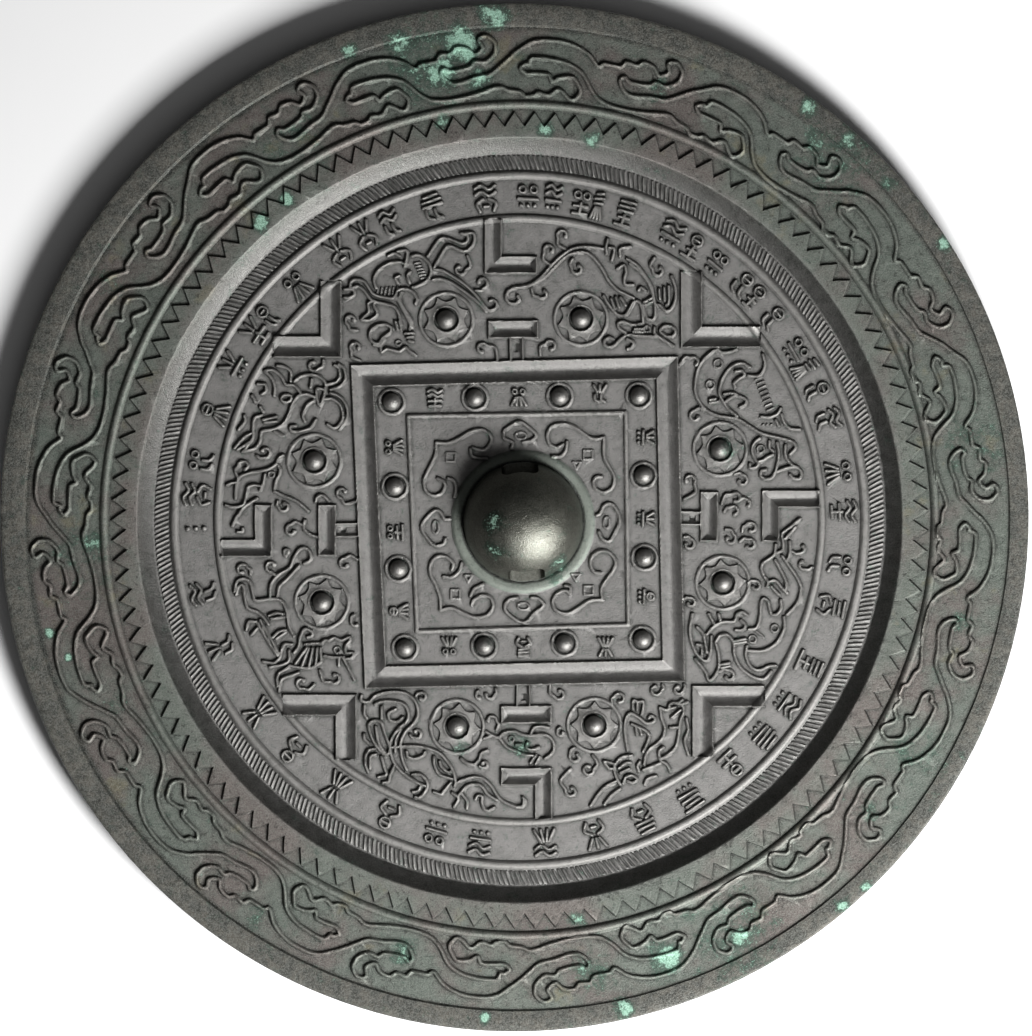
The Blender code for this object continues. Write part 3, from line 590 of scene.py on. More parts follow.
# The strokes of each figure, in its place between the marks
FIGURES = {
    "winding_beast": (
        (
            (-16.9, 50.8), (-14.6, 54.1), (-12.8, 54.2), (-10.3, 53.3), (-9.2, 53.8), (-9.2, 54.9),
            (-10.4, 55.3),
        ),
        (
            (-15.7, 48.6), (-13.5, 52.3), (-12.4, 52.8), (-9.9, 51.8), (-8.4, 52.7), (-7.8, 54.1),
            (-8.1, 55.3), (-9.6, 55.3),
        ),
        ((-27, 44.7), (-27.4, 46.3), (-26.5, 48.1), (-24.6, 49.4), (-22.4, 49.7), (-21.5, 49.4)),
        (
            (-19.9, 50.9), (-19, 51.1), (-17.7, 50.6), (-16.5, 49.1), (-16.3, 47.5), (-17.1, 46.1),
            (-19, 45), (-19.9, 44.8),
        ),
        ((-22.4, 47), (-23.2, 46.6), (-22.7, 45.6)),
        ((-20.4, 47.8), (-20.9, 46.9), (-20.4, 45.6)),
        ((-24.6, 50.9), (-23.4, 51.4), (-22.4, 50.9)),
        ((-22.8, 51.8), (-21, 51.9), (-21, 50.5), (-21.4, 48.8)),
        (
            (-15.7, 48.3), (-14, 48), (-11.5, 46.6), (-9.3, 45), (-7.4, 43.1), (-6, 41.3),
            (-4.9, 40.3), (-3.7, 40.8), (-3.5, 41.7), (-4.2, 42.3), (-4.8, 42.2),
        ),
        ((-15.9, 46.3), (-14.3, 46.4), (-12.1, 45.6), (-9.9, 44.1), (-7.8, 42.5), (-5.6, 40.2)),
        (
            (-32, 44.7), (-31.8, 45.9), (-30.6, 46.3), (-29.3, 45.9), (-28.4, 44.7), (-27.4, 43.4),
            (-25.3, 42.8), (-23.7, 42.7), (-23.1, 43.4),
        ),
        (
            (-31.5, 44.7), (-30.3, 45), (-29.2, 44.1), (-27.8, 42.3), (-25.9, 41.7), (-24, 41.3),
            (-22.8, 40.3), (-22.3, 38.4), (-22.1, 37.5),
        ),
        ((-33.1, 44.4), (-31.5, 44.4), (-31.2, 43.4), (-32, 42.8), (-33.1, 42.8)),
        (
            (-27.8, 42), (-28.5, 41.6), (-28.4, 39.9), (-29.8, 38.6), (-28.4, 38.4), (-27.1, 39.1),
            (-26.8, 40), (-27.4, 41.3), (-27.1, 41.9),
        ),
        ((-23.1, 42.5), (-22.8, 44.1), (-21.2, 44.5), (-19.8, 43.9), (-19, 42.5), (-19.3, 41.6)),
        ((-22.8, 42.6), (-21.9, 40.6), (-20.9, 39), (-20.3, 37.5), (-20.4, 36.6)),
        ((-22.1, 43.8), (-22.4, 42.5), (-21.5, 40.6), (-20.1, 38.4), (-19.9, 36.9)),
        (
            (-24.3, 37.2), (-25.3, 37.6), (-27.1, 37.2), (-28.2, 35.9), (-27.9, 34.4), (-26.5, 33.8),
            (-25.6, 35), (-24.3, 35.9), (-24, 37),
        ),
        (
            (-25.3, 34.7), (-26, 33.4), (-25.9, 32.2), (-24.9, 32.8), (-23.7, 32.6), (-22.4, 32.3),
            (-21.2, 33.1), (-20.6, 32.5), (-19.3, 31.6),
        ),
        ((-21.3, 35.8), (-19.8, 35.9)),
        ((-20.9, 35), (-19.8, 35.2)),
        ((-20.6, 34.4), (-19.8, 34.2)),
        ((-27.4, 33.6), (-26, 33.3)),
        ((-23.2, 38.1), (-22.8, 36.6)),
        ((-22.4, 38.1), (-22.1, 36.6)),
    ),
    "long_tailed_bird": (
        ((-0.1, 44.7), (-1.3, 44.0), (-1.7, 42.8), (-1.1, 41.8), (0.1, 41.6), (0.9, 42.4), (0.6, 43.1)),
        (
            (0, 44.7), (2.8, 45.2), (5, 46.6), (7.2, 49.1), (9.1, 50.9), (11.3, 52.3), (14.1, 52.7),
            (17.2, 52.3),
        ),
        (
            (2.8, 45), (5.6, 46.6), (7.8, 48.8), (9.7, 50.6), (11.6, 51.5), (13.8, 51.6), (15.6, 50.3),
            (17.2, 48.1), (18.4, 45.9), (20.3, 44.1), (23.1, 42.7),
        ),
        (
            (17.3, 43.1), (18.4, 41.3), (20, 39.5), (21.6, 39.4), (22.3, 40.6), (23.1, 41.9),
            (24.2, 42), (24.8, 40.6), (25, 38.1),
        ),
        ((18.8, 42.5), (19.5, 40.6)),
        ((19.7, 42.8), (20.3, 40.9)),
        ((20.6, 42.8), (21.6, 41.3)),
        (
            (21.9, 50.3), (23.8, 49.1), (25.3, 47.2), (26.6, 45), (27, 43.1), (27.3, 41.3),
            (27.2, 38.8), (25.9, 38.6), (25.2, 40), (25, 41.3),
        ),
        ((22.5, 49.4), (24.4, 47.8), (25.9, 45.9), (26.9, 43.4)),
        ((25.2, 41.9), (26.9, 42.8)),
        ((25.3, 41.3), (26.9, 42)),
        (
            (27.3, 41.4), (28.3, 41.3), (29.4, 40.2), (30.5, 40.6), (31.3, 42.5), (31.3, 44.7),
            (30.5, 46.9),
        ),
        ((28.1, 44.4), (28.3, 42.5)),
        ((29.1, 44.7), (29.2, 42.2)),
        ((30, 45), (30, 41.9), (29.5, 41.3)),
        ((20, 48.4), (21.3, 49.1), (21.7, 47.8), (21.3, 46.3), (21.6, 45.3), (23.1, 45.3)),
        ((24.1, 44.2), (24.7, 44.7), (25.5, 44.1)),
        ((18.1, 54.1), (17.8, 52.8), (17.9, 51.3)),
        ((18.4, 52.5), (19.4, 52.2), (18.9, 50)),
        ((20.5, 50.9), (20.6, 52.3), (22.5, 52.7)),
        ((21.6, 35.9), (20.3, 36.9), (20.2, 37.8), (21.3, 38.1), (23.1, 37.5), (25, 37.8)),
        ((23.4, 36.7), (25, 36.7)),
        ((23.1, 36.2), (25, 36.1)),
        (
            (19.1, 34.8), (18.4, 35), (17.5, 34.5), (17.5, 33.6), (18.4, 33.2), (19.4, 33.5),
            (20.6, 34.7), (22, 35.5), (24, 35.4), (27.8, 35.2),
        ),
        ((21.9, 34.7), (23.1, 34.1), (22.8, 33.1), (22, 32.8)),
        ((27.2, 36.9), (27.5, 35.6), (30.9, 33.4)),
        (
            (28.3, 36.3), (29.1, 37.2), (30.5, 37.2), (31.3, 36.3), (30.8, 35.3), (29.4, 35.3),
            (28.3, 36.3),
        ),
    ),
    "serpent": (
        (
            (39.6, 32.8), (37.7, 31.7), (35.8, 29.2), (35.1, 25.8), (35.5, 23.3), (37.1, 21.1),
            (39.6, 19.8), (43.3, 19.2), (45.5, 17.9), (48, 16.4), (51.1, 15.6), (53.9, 14.8),
            (54.7, 13.6), (53.6, 12.3),
        ),
        (
            (45.8, 29.2), (44.3, 30), (42.4, 29.5), (40.8, 27.6), (39.9, 25.4), (40, 23.6),
            (41.4, 21.4), (43.3, 19.7),
        ),
        ((39.6, 32.6), (40.5, 32.1), (41.8, 32.2), (43.2, 32.7)),
        ((38, 22.9), (39.1, 23.1)),
        ((38, 22.3), (39.7, 22.6)),
        ((43, 28.4), (44.3, 28.5), (44.7, 27.6), (43.6, 27), (42.7, 26.1), (42.9, 25.4)),
        ((40.8, 22.3), (42.1, 23.4), (43.6, 23.6), (45, 22.9), (44.9, 22), (43.9, 21.5)),
        ((40.8, 24), (42.4, 24.2), (43.3, 23.9)),
        ((48.3, 31.7), (48.7, 29.8), (48, 27.9), (46.8, 27.5), (45.5, 27.6)),
        ((48, 19.6), (49.6, 19.5), (51.1, 20.1), (51.8, 21.2)),
        ((51.9, 20.1), (52.4, 18.6), (53.6, 17.3), (55.5, 17.1)),
        ((50.8, 18.9), (51.4, 17.9)),
        (
            (47.7, 15.4), (46.6, 14.5), (46.2, 12.9), (46.8, 11.4), (47.4, 10.4), (46.8, 9.7),
            (45.8, 9.7), (45.8, 10.4),
        ),
        ((47.4, 10.9), (48.3, 11.1), (49.3, 11.8), (50.3, 12.2)),
        ((49.6, 14.8), (49.6, 13.6), (50.3, 12.9)),
        (
            (51.1, 14.5), (51.4, 12.3), (51, 9.8), (50.2, 7.9), (48.9, 7.5), (47.9, 8.1), (48, 9),
            (48.9, 9.3),
        ),
        ((52.7, 14), (52.7, 12), (53.9, 10.3), (55.2, 9.7)),
        ((51.1, 8.9), (53, 9.7), (54.9, 9.7), (55.8, 8.7), (55.5, 7.6), (54.3, 7.6), (53.6, 8.3)),
    ),
    "winged_figure": (
        ((55.5, -0.3), (53.9, -1.7), (52.1, -3.1), (52.2, -4.7), (52.2, -6.3), (51.1, -6.9)),
        ((54.6, -1.9), (52.7, -4.1)),
        (
            (50.8, -5.3), (50.5, -7.3), (48.6, -8.6), (48, -9.7), (48.5, -11.3), (49.3, -12.5),
            (49.1, -13.4),
        ),
        ((53.5, -4.7), (53.6, -6.6), (53, -8.6)),
        ((50.7, -8.3), (51.8, -10.3), (52.8, -12.5), (52.8, -14.2)),
        ((49.6, -12.5), (50.8, -12.3), (52.1, -13.8), (53, -14.7)),
        ((52.1, -7.5), (53.6, -9.7), (54.9, -11.6), (55.7, -13.8), (55, -16.6), (53, -18.9)),
        ((49.9, -13.4), (51.4, -15)),
        (
            (51.8, -16.1), (51.8, -17.8), (51, -18.8), (50, -18.8), (49.6, -17.5), (49.3, -16.3),
            (48.5, -15.8), (47.9, -16.6), (47.8, -18.8), (47.4, -20.8), (46.8, -21.6), (45.5, -21.8),
        ),
        ((52.4, -19.4), (52.5, -21.3), (51.8, -23.1), (50.5, -24.8), (48.3, -25.9), (45.5, -25.9)),
        (
            (45.2, -25), (45, -26.9), (45.8, -28.8), (47.1, -29.7), (48.3, -29.5), (49.6, -28.9),
            (50.8, -28.8),
        ),
        (
            (42.7, -25), (42.8, -26.9), (43.9, -29.1), (45.5, -30.5), (47.1, -31.3), (48.6, -31.4),
            (49.9, -30),
        ),
        ((39.1, -24.2), (39.9, -23), (41.4, -22.8), (42.5, -24.1), (42.7, -25)),
        ((42.7, -24.1), (44.9, -23.6)),
        ((43, -24.5), (45, -24.2)),
        (
            (37.4, -22.8), (38.6, -21.3), (40.5, -20.3), (42.7, -20.2), (43.2, -18.9), (44.3, -18.4),
            (45.3, -19.1),
        ),
        ((44.1, -20), (44.9, -20.9), (44.4, -21.9), (43, -21.9)),
        (
            (39.1, -24.4), (39.7, -26.6), (39.7, -29.1), (38.9, -30.9), (37.8, -31.7), (37.1, -30),
            (35.2, -27.5),
        ),
        (
            (34.6, -18.8), (34.1, -21.9), (34.6, -24.7), (35.7, -26.9), (37.4, -27.9), (38.2, -25.6),
            (38.3, -23.1),
        ),
        ((35.5, -21.3), (36.6, -22.5), (37.1, -24.4), (37.4, -26.3)),
        ((35.5, -24.7), (36.4, -25), (36.4, -27.2)),
        ((37.8, -18.8), (38.9, -20.8)),
        ((39.7, -18.8), (40, -20)),
        ((40.3, -28.6), (41.8, -28.3)),
        ((40.3, -29.2), (41.9, -28.9)),
    ),
    "dancing_figures": (
        ((19.7, -51.3), (17.8, -52.3), (16.3, -53.8), (14.8, -56.1)),
        ((20.5, -52.8), (18.8, -54.1), (17.5, -55.8)),
        ((22.8, -46.3), (20.9, -46.6), (19.8, -47.7), (19.4, -48.8), (19.7, -50.3), (20.5, -51.9)),
        ((19.5, -48), (17.8, -47.5), (17.4, -47.6), (18.4, -48.8), (19.5, -48.8)),
        ((20.3, -48.8), (21.6, -47.8), (22.5, -47.7)),
        ((20.6, -49.7), (22.3, -48.9)),
        ((21.1, -51.7), (21.7, -50.5), (22.8, -50.2), (23.8, -50.9), (23, -51.6), (21.9, -51.3)),
        ((24.4, -47.5), (23.9, -48.4), (24.2, -49.4)),
        ((25, -49.1), (28.3, -47.8)),
        ((25.3, -51.9), (25.9, -50.8), (27.5, -50.3)),
        (
            (22, -45.3), (21.6, -43.1), (21.4, -40.6), (21.9, -38.6), (22.8, -38.1), (24.4, -39.1),
            (25.6, -40), (26.9, -39.8), (27.3, -39.1), (26.6, -38.6), (26.1, -39.1),
        ),
        ((22.8, -40.2), (25.6, -41.6), (26.1, -43.1), (25, -45.6)),
        ((23.6, -40.9), (23.8, -42.2)),
        ((24.4, -41.3), (24.7, -42.2)),
        ((23, -37.3), (23.1, -35.6), (23.9, -35.9), (25, -35.8), (25, -37.2), (24.7, -38.4)),
        ((23.9, -36), (23.9, -37.5)),
        (
            (28.3, -37), (28.6, -39.1), (29.2, -40.9), (28.8, -42.8), (27.5, -44.2), (26.3, -45),
            (25.5, -46.3), (25.2, -48.1),
        ),
        (
            (28.3, -37), (29.7, -37.5), (30.3, -36.3), (31.6, -36.1), (32.7, -36.7), (32.8, -38.1),
            (32.2, -39.7), (31.9, -42.5), (31.3, -44.7), (29.7, -46.3), (28.4, -47),
        ),
        ((30, -37.3), (31.3, -36.9)),
        ((30.6, -38.9), (32.2, -37.5)),
        ((30.3, -40.9), (31.7, -40.8)),
        ((31.9, -36.1), (32.7, -35.5)),
        ((32.5, -36.4), (33.6, -35.9)),
        ((33.4, -39.1), (33.8, -41.3), (33.1, -43.4), (33.8, -46.1)),
        ((28.9, -44.7), (28.1, -45.6), (28.4, -47.2), (29.7, -48.1), (30.2, -49.4)),
    ),
    "toad_and_bird": (
        (
            (0, -41.6), (1.3, -42.2), (3, -42.5), (5.3, -42.2), (6.9, -42.8), (7.7, -44.4),
            (7.2, -45.9), (5.9, -46.9),
        ),
        ((3.1, -42.2), (3.8, -40.9), (5, -40.6), (6.6, -40.9)),
        ((2.5, -43.8), (2.3, -44.8), (3.4, -45.2), (4.7, -44.7)),
        ((0, -45.3), (1.6, -46.1), (3.4, -46.3)),
        ((4.1, -46.3), (3.1, -47.8)),
        ((4.8, -46.6), (4.1, -48)),
        ((0.3, -44.2), (1.3, -44.2)),
        ((-5.6, -41.7), (-4.6, -42.3), (-3.1, -42.8), (-2.1, -41.9), (-0.3, -41.6), (1.3, -42.2)),
        ((-2.9, -43), (-1.8, -44.4), (-0.3, -45.3), (1.9, -46.1)),
        ((-6, -43), (-4.6, -42.5)),
    ),
    "tortoise_and_snake": (
        (
            (-28.1, -35.8), (-27.3, -34.8), (-25.3, -34.1), (-22.8, -33.9), (-20.6, -34.5),
            (-19.2, -36.1), (-18.8, -38.1), (-19.6, -40), (-21.2, -41.6), (-22.1, -43.4),
            (-22.1, -45.6), (-21.7, -47.5), (-21, -49.1),
        ),
        (
            (-27.1, -36.3), (-25.6, -35.8), (-23.4, -35.8), (-21.5, -36.4), (-20.7, -38), (-21, -39.7),
            (-22.4, -40.9), (-23.8, -42.8), (-24.2, -45), (-23.7, -47.2), (-22.4, -49.1),
            (-20.6, -50.6),
        ),
        ((-22.2, -41.3), (-23.1, -43.3), (-23.2, -45.6)),
        ((-23.1, -37.3), (-24.5, -38.1), (-24.3, -39.4), (-22.8, -39.7), (-21.7, -38.9)),
        ((-29.8, -34.7), (-29.9, -35.5), (-29, -35.9), (-28.1, -35.8)),
        ((-29.2, -36.6), (-29.3, -38.1), (-28.7, -39.1)),
        ((-25.9, -36.9), (-25.9, -39.1)),
        (
            (-24.3, -44.8), (-21.5, -44.5), (-19, -44.5), (-16.5, -45), (-14.6, -45.9), (-13.1, -47.5),
            (-12.1, -49.1), (-11.5, -51.3), (-11.7, -52.3),
        ),
        ((-15.7, -46.6), (-15.6, -48.1), (-14.6, -50), (-12.1, -50.9)),
        ((-14.6, -47.5), (-14.3, -48.4), (-13.1, -49.5), (-12.4, -49.5)),
        ((-21, -45.6), (-20.7, -46.6), (-19.3, -46.9), (-17.8, -46.3), (-17.4, -45.6)),
        (
            (-28.4, -40.3), (-27.1, -39.5), (-25.9, -40), (-25.3, -41.9), (-24.6, -43.8), (-24.2, -45),
            (-24.8, -46.1), (-25.9, -45.6), (-27.1, -44.1), (-27.9, -42.5), (-28.4, -40.3),
        ),
        ((-27, -40.8), (-26.5, -43.8), (-25.1, -45.9)),
        ((-27.1, -45), (-28.4, -45.3), (-29, -46.6), (-29, -48.1), (-28.5, -49.5)),
        ((-27, -46.1), (-28.1, -46.6), (-28.1, -48.8)),
        ((-25.9, -46.6), (-25.3, -48.8), (-24.9, -50), (-26.5, -50.5)),
        ((-23.4, -48.4), (-24.2, -50), (-24.5, -51.3), (-25.6, -51.6)),
        ((-19.9, -50), (-18.4, -50), (-17.1, -51.3), (-17.1, -52.8), (-18.4, -54.4), (-19.3, -54.4)),
        ((-20.6, -50.6), (-18.4, -51.9), (-17.4, -52.2)),
        ((-19.8, -53.4), (-18.7, -53.1), (-18.1, -51.9)),
        ((-12.4, -51.6), (-13.7, -53.1), (-14.3, -53.9), (-15.7, -53.4)),
        ((-12.1, -53.6), (-10.9, -54.7), (-11.8, -56.3)),
        ((-10.4, -53.6), (-9.2, -55.3), (-9.3, -56.6)),
        (
            (-11.3, -51.6), (-9.6, -50.9), (-7.8, -50.5), (-6.2, -50.8), (-4.6, -52.2), (-3.4, -54.1),
            (-2.1, -55.3), (0.4, -56.3), (1.6, -56.1), (1.8, -55),
        ),
        ((-10.9, -54.1), (-9.3, -52.3), (-7.4, -51.9), (-6.2, -52.5), (-5.3, -53.8), (-3.4, -55)),
        ((-10.4, -46.9), (-9.3, -47.8), (-7.8, -48), (-6.8, -46.9), (-6.5, -45.9), (-5.3, -45.3)),
        (
            (-4, -56.4), (-5.1, -57), (-6, -56.6), (-6.4, -55.4), (-6.3, -54.3), (-7.1, -54.1),
            (-7.6, -54.8),
        ),
        ((-29.3, -42.2), (-29.2, -43.1), (-28.4, -43.9)),
        ((0.5, -56.4), (1.6, -56.3), (2.2, -55.3), (1.6, -54.5)),
    ),
    "tiger": (
        (
            (-40.9, -8.9), (-39.8, -8.4), (-39.7, -7.2), (-40.4, -6.1), (-41.7, -6.1), (-42.9, -7.8),
            (-43.6, -9.7), (-45.1, -10.6), (-46.7, -11.9), (-47.5, -13.4), (-47.6, -15.6),
        ),
        ((-42, -9.4), (-43.3, -10.9), (-44.5, -12.2), (-45.8, -13.4), (-46.1, -15.3)),
        (
            (-54.5, -14.4), (-54, -12.5), (-52.6, -11.9), (-51.4, -12.8), (-50.9, -15), (-50.4, -16.1),
            (-48.3, -15.9), (-46.1, -15.9), (-44.8, -17), (-44.2, -19.1), (-43.9, -21.3), (-42.9, -23),
        ),
        (
            (-54.2, -15), (-53.6, -13.3), (-52.8, -13.4), (-52.5, -15.6), (-52, -17.5), (-50.1, -18.4),
            (-48.9, -19.4), (-47.9, -20.8),
        ),
        ((-50, -20.6), (-48.9, -22.5), (-47.6, -24.7), (-46.1, -26.9)),
        ((-49.5, -20), (-48.3, -22.2), (-47, -24.4), (-45.8, -26.6)),
        ((-50.3, -20.3), (-51.7, -20.3), (-52.2, -21.9)),
        ((-50.1, -21.6), (-51.2, -22.8)),
        ((-47.8, -19.1), (-46.4, -18.6), (-45, -18.8)),
        ((-47.3, -19.7), (-44.8, -19.4)),
        ((-47, -23.3), (-45.8, -22.2), (-44.5, -21.9)),
        ((-46.4, -23.6), (-44.5, -22.3)),
        (
            (-42.9, -26.3), (-42, -25), (-41.7, -23.1), (-40.8, -21.7), (-39.5, -22.2), (-39.5, -23.1),
            (-40.3, -23.3),
        ),
        ((-43.3, -24.7), (-44.8, -24.7), (-45.4, -25.9), (-45.8, -27.5), (-47, -28.3), (-48.9, -28)),
        ((-43.9, -25.9), (-43.9, -27.8), (-45.1, -28.6), (-47.6, -29.1)),
        ((-40.8, -24.7), (-38.9, -24.5), (-37.5, -24.5)),
        ((-40.4, -25.3), (-42.6, -28.4)),
        ((-40.1, -25.5), (-41.4, -28.9)),
        ((-39.3, -25.5), (-40, -28.9)),
        ((-38.4, -25.5), (-38.7, -28.6)),
        ((-37.8, -25.5), (-37.6, -28.1)),
        ((-43.9, -28.8), (-41.7, -29.2), (-39.5, -29.2), (-37.6, -28.1)),
        (
            (-37.5, -24.5), (-37, -23.9), (-36.1, -23.9), (-35.1, -23.4), (-33.7, -23.9),
            (-32.2, -23.3), (-32, -23.9), (-32.9, -25), (-32.8, -26.3), (-31.4, -26.4), (-31.7, -27.3),
            (-32.8, -27.5),
        ),
        ((-37, -26.9), (-35.4, -27.2), (-33.3, -27.2)),
        ((-33.3, -27.5), (-32.3, -29.4), (-31.2, -31.6)),
        ((-34.2, -27.5), (-34.2, -28.8)),
        ((-42, -30.2), (-42.9, -30.6), (-45.1, -31.3), (-45.6, -32.2), (-45.8, -33.8)),
        ((-44, -29.2), (-45.8, -30.3), (-46.2, -31.6), (-46.1, -32.8)),
        ((-40.8, -0.6), (-41.1, -1.9), (-40.1, -3.1), (-38.4, -3.8)),
        ((-54.2, 0), (-54.9, -1.6)),
        ((-52.9, -2.2), (-53, -2.8), (-53.9, -2.8)),
    ),
    "horned_dragon": (
        ((-48.6, 28.5), (-47, 28.7), (-45.4, 27.4), (-44.5, 25.9), (-42.9, 25.7), (-41.5, 24)),
        ((-48.6, 28.5), (-47.3, 27.1), (-46.7, 25.3), (-46.8, 23.7)),
        ((-46.2, 29.5), (-44.8, 29.3), (-43.6, 28.4), (-43.6, 26.5)),
        ((-50, 26), (-48.6, 25.9), (-48.4, 24.6), (-49.2, 24)),
        (
            (-42.9, 26.5), (-41.7, 27.4), (-39.8, 27.8), (-37.9, 27.4), (-36.8, 25.9), (-37, 24),
            (-37.9, 21.8), (-38.6, 24), (-38.3, 25.1), (-37, 24.9),
        ),
        ((-39.7, 25.3), (-39.5, 26.8)),
        ((-45.4, 23.1), (-44.8, 23.8), (-43.6, 23.7), (-43.6, 22.8), (-44.7, 22.4), (-45.4, 23.1)),
        (
            (-38.9, 23.4), (-40.4, 24), (-42, 23.7), (-43.3, 22.1), (-44, 19.9), (-45.4, 17.9),
            (-47.3, 17.1), (-49.2, 16.7), (-49.5, 14.9), (-50.6, 13.4), (-52.9, 12.8),
        ),
        ((-49.2, 19.9), (-50.6, 19.3), (-50.9, 17.4), (-50.9, 15.6), (-51.7, 14.3), (-52.6, 13.1)),
        ((-51.4, 16.3), (-52.6, 15.6), (-54.5, 13.5)),
        ((-51.1, 14.9), (-53.9, 13.2)),
        ((-49.5, 21.5), (-49, 20.6)),
        ((-48.9, 19), (-46.4, 19.6)),
        ((-48.6, 18.5), (-46.4, 18.7)),
        ((-52.6, 19.8), (-52.5, 18.7), (-53.7, 17.1)),
        ((-51.1, 23.7), (-50.4, 22.4)),
        ((-39, 22.8), (-40.4, 21.8), (-41.2, 19.9), (-40.8, 18.7)),
        ((-38.7, 19), (-39.8, 17.4), (-41.7, 16.8), (-43.3, 16.8), (-43.6, 17.6), (-42.6, 17.8)),
        (
            (-37, 23.1), (-35.4, 23.1), (-33.9, 21.8), (-33.4, 19.6), (-34, 18.1), (-35.1, 17.4),
            (-36.4, 18.1),
        ),
        ((-35.8, 24.2), (-33.9, 23.4), (-32.6, 21.2), (-32.8, 19), (-34.2, 17.1)),
        ((-36.4, 25.9), (-34.8, 26.3), (-34, 27.4), (-34.2, 29), (-35, 29.6)),
        ((-35.8, 24.9), (-33.9, 25.6), (-32.9, 27.1), (-33.3, 29), (-34.2, 29.8)),
        ((-46.7, 16.8), (-45.1, 15.9)),
    ),
    "small_bird": (
        ((-46.4, 10.4), (-45.8, 11.7), (-45, 12.1)),
        (
            (-46.5, 10.3), (-47.6, 9.5), (-49.5, 9), (-51.7, 8.7), (-53.6, 7.8), (-54.2, 5.9),
            (-54.3, 3.7),
        ),
        ((-46.1, 10.3), (-45.6, 9), (-46.4, 7.1), (-46.7, 5.6)),
        ((-48.6, 8.4), (-48.9, 6.8), (-49.5, 5.3)),
        ((-49.2, 6), (-50.4, 6.3), (-51.8, 5.9), (-52.3, 4), (-52.9, 2.4), (-54.8, 2), (-56.2, 2.4)),
        ((-53.9, 6.8), (-55.1, 6.7), (-55.9, 6.3)),
        ((-46.7, 5.1), (-45.1, 4.3), (-42.9, 3.4), (-41.4, 2.4), (-40.1, 1.2)),
        ((-50.1, 3.7), (-52.6, 2.1), (-53.9, 0.3)),
        ((-38.7, 3.1), (-38.4, 4), (-37.3, 4.3), (-36.1, 3.1)),
    ),
}
# The edges of the leaves and buds round the knob
LEAVES = (
    (
        (-15.25, 14.6), (-12.9, 14.5), (-10.8, 15.4), (-8.6, 16.7), (-6.5, 17.1), (-5.1, 16.5),
        (-4.5, 15.3), (-5.1, 13.8), (-6.1, 13.1), (-7.4, 13.3), (-8.1, 13.6),
    ),
    ((-8.6, 13.3), (-8.3, 12), (-6.9, 11.5), (-5.4, 11.5)),
    (
        (-15.25, 14.6), (-15.4, 12.2), (-16.7, 9.4), (-17.6, 7.4), (-17.4, 5.4), (-16.1, 4.3),
        (-14.5, 4.5), (-13.6, 5.8), (-13.8, 7), (-14.9, 7.6),
    ),
    ((-12.9, 7.6), (-11.9, 7.2), (-11.4, 5.8), (-11.7, 4)),
    (
        (17.4, 15.6), (15.6, 15.3), (13.9, 16), (11.7, 17.6), (9.6, 18.2), (7.4, 17.8), (6.4, 16.3),
        (6.7, 14.5), (8.1, 13.6), (9.4, 14.2),
    ),
    ((10.2, 14.7), (9.9, 12.9), (8.9, 11.9), (7.4, 11.9)),
    (
        (17.4, 15.6), (17.4, 11.9), (18.5, 9.7), (19.4, 7.9), (19, 5.8), (17.4, 4.9), (15.8, 5.6),
        (15.3, 7), (16, 7.9), (16.9, 7.9),
    ),
    (
        (17.1, -16), (16.9, -13.9), (17.8, -12.1), (19.2, -10.3), (19.6, -8.5), (18.5, -6.9),
        (16.7, -6.5), (15.1, -7.6), (14.8, -9.2), (15.5, -10.6), (16.7, -10.8),
    ),
    (
        (17.1, -16), (14.6, -16.2), (12.4, -17.6), (10.3, -18.7), (8.1, -18.1), (7.4, -16.4),
        (8.3, -14.8), (9.9, -14.2), (10.8, -14.9),
    ),
    ((10.8, -14.9), (10.8, -13.5), (9.8, -13.3)),
    (
        (-14.4, -18), (-14.5, -15.6), (-15.4, -13.1), (-16.4, -11), (-16.3, -8.9), (-15.1, -7.6),
        (-13.3, -7.7), (-12, -8.9), (-12.2, -10.1),
    ),
    ((-13.8, -11.5), (-12.2, -11.6), (-10.8, -10.5), (-10.3, -8.9)),
    (
        (-14.4, -18), (-12.2, -17.6), (-10.1, -18.5), (-7.9, -19.4), (-5.4, -19), (-4.2, -17.4),
        (-4.7, -15.6), (-6.3, -15.2), (-7.9, -16), (-8.3, -16.9),
    ),
    ((-8.6, -15.3), (-7.9, -13.9), (-6.1, -13)),
)
BUDS = (
    (
        (-0.6, 13.5), (-0.4, 14.6), (-2, 15.4), (-2.1, 16.7), (-1.1, 17.6), (1, 18.6), (3.1, 17.2),
        (4.2, 16), (3.3, 15), (1.6, 14.7),
    ),
    (
        (-12.6, -0.3), (-13.6, -0.3), (-14.4, 1), (-15.4, 1.4), (-16.7, 0.4), (-18.1, -1.8),
        (-16.9, -4.2), (-15.4, -5.5), (-13.8, -5.1), (-13.5, -4.2),
    ),
    (
        (16, 0.4), (16.7, 0.8), (17.3, 2.2), (18.5, 2.7), (19.6, 1.9), (20.5, -0.6), (19.4, -3.1),
        (18.5, -4.6), (17.1, -4.2), (16.4, -2.8),
    ),
    (
        (0.5, -15.6), (-1.1, -16), (-1.9, -17.1), (-1.5, -18.5), (1.7, -20.5), (3.9, -18.5),
        (5.6, -17.1), (4.6, -15.8), (3.3, -15.6),
    ),
)
